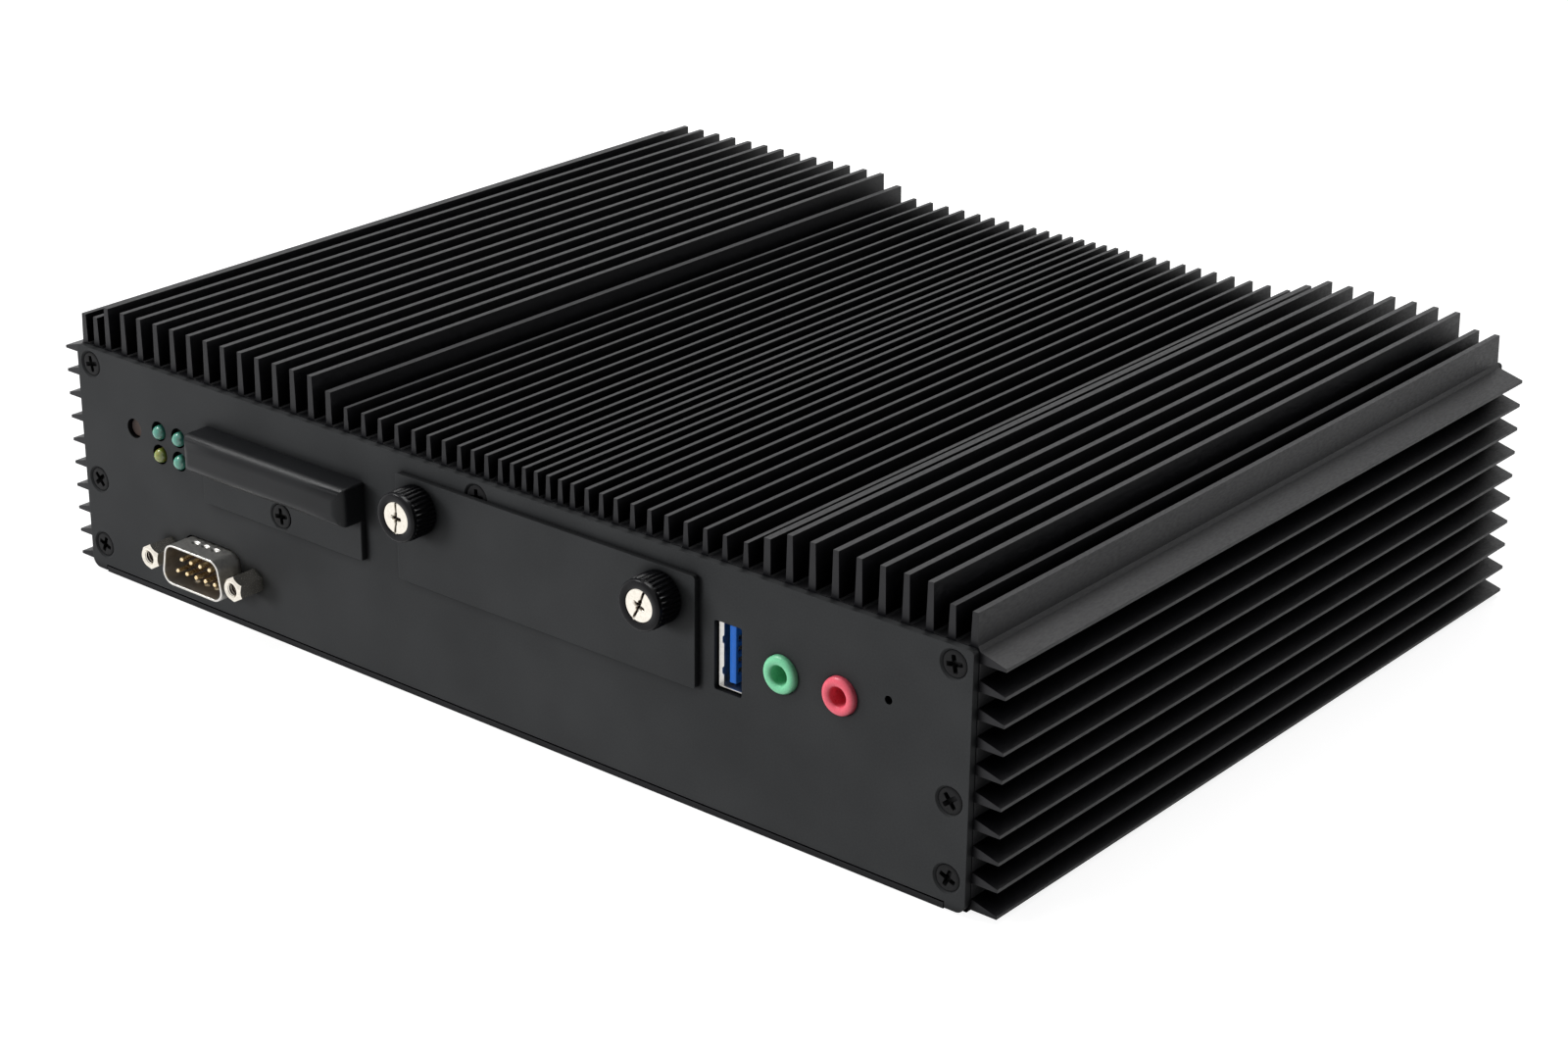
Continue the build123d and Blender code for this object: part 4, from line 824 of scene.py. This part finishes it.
def card_cover():
    """A folded box and its flange. The box is a rectangle carried forwards whose front rim is a
    quarter round of 2.5 mm. The flange is a loop of outlines: its rectangle at the back and at the
    front, then the countersink and the screw's hole, each hole point lying on the line from the
    hole's middle to the rectangle's point."""
    middle, low, high = place_of("card_cover")
    width, flange_y = high[0] - low[0], face_y - cover_flange
    box = rectangle(middle[0], high[2] - box_height / 2, width, box_height, box_corner)
    stations = [(0, face_y)] + fillet_steps(low[1], box_rim, count=12)
    height = high[2] - box_height + box_corner - low[2]
    flange_z = low[2] + height / 2
    flange = rectangle(middle[0], flange_z, width, height, cover_corner, arc=4, side=12)
    hole = np.array([card_screw[0], card_screw[2]])
    away = flange(0) - hole
    way = away / np.linalg.norm(away, axis=1)[:, None]
    loops = [
        (flange(0), face_y),
        (flange(0), flange_y + cover_edge),
        (flange(-cover_chamfer), flange_y),
        (hole + sink_mouth_r * way, flange_y),
        (hole + sink_r * way, flange_y + sink_lead),
        (hole + card_hole_r * way, flange_y + sink_depth),
        (hole + card_hole_r * way, face_y),
    ]
    rings = np.array([at_depth(flat, y) for flat, y in loops])
    return [carried(box, stations)], [(rings, True, True)]


card_box, card_flange = card_cover()
add_piece(
    "card_cover_box", card_box, "black_coated_sheet", "case", ["card_cover"], sharp=40.0,
    material=smooth_coat,
)
add_piece("card_cover_flange", card_flange, "black_coated_sheet", "case")

# ---- upright USB port ----
usb, usb_low, usb_high = place_of("usb_shell")
usb_x, usb_z = usb[0], usb[2]
usb_wall, usb_corner, usb_back, back_reach = 0.3, 0.45, 0.5, 2.6
back_width, back_height, back_corner = 1.0, 8.0, 0.2
lip_reach, lip_notch, lip_lean, lip_fall, lip_from, leaf = 0.55, 0.25, 0.8, 0.85, 0.12, 0.14
lip_points, tongue_points = 90, 111
notch_places, notch_half, notch_slope = (-3.4, 2.6), 0.75, 0.12
tongue_half, tongue_step, groove, groove_half, groove_slope = 0.78, 0.5, 0.45, 0.62, 0.08
tongue_margin, plug_length, plug_corner, plug_edge = 0.6, 3.0, 0.2, 0.1
nose_round, nose_corner, nose_sink, groove_from, groove_full = 0.25, 0.08, 0.07, 0.6, 0.65
contact_places = (-3.3, -1.2, 0.9, 3.0)
contact_width, contact_height, contact_corner, contact_proud = 0.16, 0.8, 0.05, 0.05
contact_edge, contact_from, contact_full, contact_past = 0.04, 0.75, 0.8, 0.5


def usb_shell():
    """A drawn tube with a rounded mouth and a closed back, and on either long wall a strip folded
    inwards from the mouth: it leans in by 0.8 of its reach over a depth of 0.85 of it. The reach
    is less at two notches, where its springs are cut free, and its inside lies one leaf behind its
    face."""
    y0, y1 = usb_low[1], usb_high[1]
    walk = [(0, y1), (0, y0 + lip_run)] + lip_steps(y0, usb_wall, count=7)
    walk += [(-usb_wall, y0 + lip_run), (-usb_wall, y1 - usb_back)]
    walk += [(-back_reach, y1 - usb_back), (-back_reach, y1)]
    width, height = (usb_high - usb_low)[[0, 2]]
    mouth = rectangle(usb_x, usb_z, width, height, usb_corner, side=2)
    tube = carried(mouth, walk, ends=False)
    back = carried(
        rectangle(usb_x, usb_z, back_width, back_height, back_corner),
        [(0, y1 - usb_back), (0, y1)],
    )
    z = np.linspace(usb_low[2] + usb_wall, usb_high[2] - usb_wall, lip_points)
    notch = sum(ramp(notch_half - np.abs(z - usb_z - dz), notch_slope) for dz in notch_places)
    reach = lip_reach - lip_notch * notch
    grids = [tube, back]
    for side, wall_x in ((1, usb_low[0] + usb_wall), (-1, usb_high[0] - usb_wall)):
        loops = []
        for share, behind in ((0, 0), (0.5, 0), (1, 0), (1, leaf), (0.5, leaf), (0, leaf)):
            x = wall_x + side * share * reach * lip_lean
            y = y0 + lip_from + share * reach * lip_fall + behind
            loops.append(np.column_stack([x, y, z]))
        grids.append((capped(np.array(loops).transpose(1, 0, 2)), False, True))
    return grids


def usb_tongue():
    """The tongue carried upwards: each level is a loop with a rounded front whose right side steps
    in by 0.45 mm where a contact's groove runs, four of them 2.1 mm apart."""
    centre, low, high = place_of("usb_tongue")
    middle, half = centre[0] - tongue_step, tongue_half
    z = np.linspace(low[2] + tongue_margin, high[2] - tongue_margin, tongue_points)
    inset = groove * sum(
        ramp(groove_half - np.abs(z - usb_z - dz), groove_slope) for dz in contact_places
    )
    y0, y1 = low[1], high[1] - plug_length
    loops = []
    for x, y, share in (
        (-half, y1, 0),
        (-half, y0 + nose_round, 0),
        (-half + nose_corner, y0 + nose_sink, 0),
        (-half + nose_round, y0, 0),
        (half - nose_round, y0, 0),
        (half - nose_corner, y0 + nose_sink, 0),
        (half, y0 + nose_round, 0),
        (half, y0 + groove_from, 0),
        (half, y0 + groove_full, 1),
        (half, y1, 1),
    ):
        loops.append(np.column_stack([middle + x - share * inset, y + 0 * z, z]))
    body = capped(np.array(loops).transpose(1, 0, 2))
    plug = carried(
        rectangle(centre[0], usb_z, high[0] - low[0], high[2] - low[2], plug_corner),
        [(-plug_edge, y1), (0, y1 + plug_edge), (0, high[1])],
    )
    contact_x = middle + half - groove + contact_proud
    contacts = [
        carried(
            rectangle(contact_x, usb_z + dz, contact_width, contact_height, contact_corner),
            [(-contact_edge, y0 + contact_from), (0, y0 + contact_full), (0, y1 + contact_past)],
        )
        for dz in contact_places
    ]
    return [(body, False, True), plug], contacts


add_piece("usb_shell_folded", usb_shell(), "tin_plate", "case", ["usb_shell"], sharp=40.0)
tongue, contacts = usb_tongue()
add_piece("usb_tongue_grooved", tongue, "blue_plastic", "case", ["usb_tongue"])
add_piece("usb_contacts", contacts, "gold_plate", "case")

# ---- camera, light and floor ----
camera_azimuth, camera_elevation, camera_roll = 39.08, 22.88, 0.67
camera_offset = (-57.4, -38.0, 609.2)
focal_length, sensor_width, nearest = 73.54575, 36.0, 0.01
product_middle = (0, 0, 0.03)


def aim(azimuth, elevation, roll):
    """The camera's right, up and forward direction."""
    a, e, r = (math.radians(v) for v in (azimuth, elevation, roll))
    ahead = Vector((-math.sin(a) * math.cos(e), math.cos(a) * math.cos(e), -math.sin(e)))
    level = ahead.cross(Vector((0, 0, 1))).normalized()
    above = level.cross(ahead)
    right = math.cos(r) * level + math.sin(r) * above
    up = -math.sin(r) * level + math.cos(r) * above
    return right, up, ahead


def add_light(name, place, target, size, watts, mirrored=False):
    """A square white soft light at a place, turned towards a target, both in metres. Polished
    surfaces show it only when it is mirrored; otherwise they show the white room."""
    data = bpy.data.lights.new(name, "AREA")
    data.shape, data.size, data.energy = "SQUARE", size, watts
    lamp = bpy.data.objects.new(name, data)
    lamp.visible_glossy = mirrored
    lamp.location = place
    lamp.rotation_mode = "QUATERNION"
    lamp.rotation_quaternion = (Vector(target) - Vector(place)).to_track_quat("-Z", "Y")
    bpy.context.scene.collection.objects.link(lamp)


right, up, ahead = aim(camera_azimuth, camera_elevation, camera_roll)
seen = -(camera_offset[0] * right + camera_offset[1] * up + camera_offset[2] * ahead) * MM
camera = bpy.data.objects.new("camera", bpy.data.cameras.new("camera"))
camera.data.sensor_width = sensor_width
camera.data.lens = focal_length
camera.data.clip_start = nearest
turned = Matrix((right, up, -ahead)).transposed()
camera.matrix_world = Matrix.Translation(seen + Vector((0, face_y * MM, 0))) @ turned.to_4x4()
bpy.context.scene.collection.objects.link(camera)
bpy.context.scene.camera = camera

add_light("key_softbox", (-2.45, -3.2, 0.55), product_middle, size=1.5, watts=150.0)
add_light("front_fill", (0.35, -2.4, 0.1), (0.05, 0, 0), size=0.6, watts=7.0)
add_light(
    "rear_softbox", (-0.15, 1.2, 2.2), product_middle, size=1.2, watts=24.0, mirrored=True
)
add_light(
    "top_left_strip", (-0.8, -0.25, 1.1), product_middle, size=0.42, watts=8.0, mirrored=True
)

world = bpy.data.worlds.new("studio")
bpy.context.scene.world = world
world.use_nodes = True
tree = world.node_tree
tree.nodes.clear()


def seen_directly(tree):
    """1 for camera, glossy and transmission rays, which see the white backdrop, otherwise 0."""
    path = add_node(tree, "LightPath")
    some = add_node(
        tree, "Math", {0: (path, "Is Camera Ray"), 1: (path, "Is Glossy Ray")}, operation="MAXIMUM"
    )
    return add_node(
        tree, "Math", {0: (some, 0), 1: (path, "Is Transmission Ray")}, operation="MAXIMUM"
    )


fill = add_node(tree, "Background", {"Color": linear("#C8CCD2"), "Strength": 0.08})
white = add_node(tree, "Background", {"Color": (1, 1, 1, 1), "Strength": 1.0})
mixed = add_node(tree, "MixShader", {0: (seen_directly(tree), 0), 1: (fill, 0), 2: (white, 0)})
add_node(tree, "OutputWorld", {"Surface": (mixed, 0)})

# Matt paper sweep: pale, lightly textured; it reads white where it is lit and keeps the shadow.
paper = bpy.data.materials.new("matt_paper_white")
paper.use_nodes = True
tree = paper.node_tree
tree.nodes.clear()
place = add_node(tree, "TexCoord")
fibre = add_node(tree, "TexNoise", {"Vector": (place, "Object"), "Scale": 900.0, "Detail": 2.0})
tint = add_node(
    tree, "Mix", {0: (fibre, "Fac"), 6: linear("#A8A8A8"), 7: linear("#B0B0B0")}, data_type="RGBA"
)
matt = add_node(tree, "BsdfDiffuse", {"Color": (tint, 2)})
away = add_node(tree, "VectorMath", {0: (place, "Object")}, operation="LENGTH")
far = add_node(tree, "MapRange", {
    "Value": (away, "Value"), "From Min": 0.3, "From Max": 1.2, "To Min": 0.9, "To Max": 1.0,
})
lift = add_node(tree, "Math", {0: (far, 0), 1: (seen_directly(tree), 0)}, operation="MULTIPLY")
glow = add_node(tree, "Emission", {"Color": (1, 1, 1, 1), "Strength": (lift, 0)})
total = add_node(tree, "AddShader", {0: (matt, 0), 1: (glow, 0)})
add_node(tree, "OutputMaterial", {"Surface": (total, 0)})
floor_half, floor_drop = 6.0, 0.0002
floor_mesh = bpy.data.meshes.new("floor")
floor_corners = [
    (x * floor_half, y * floor_half, 0) for x, y in ((-1, -1), (1, -1), (1, 1), (-1, 1))
]
floor_mesh.from_pydata(floor_corners, [], [(0, 1, 2, 3)])
floor_mesh.materials.append(paper)
floor = bpy.data.objects.new("floor", floor_mesh)
floor.location.z = cad_box[0].z - floor_drop
bpy.context.scene.collection.objects.link(floor)

bpy.context.scene.view_settings.view_transform = "Standard"
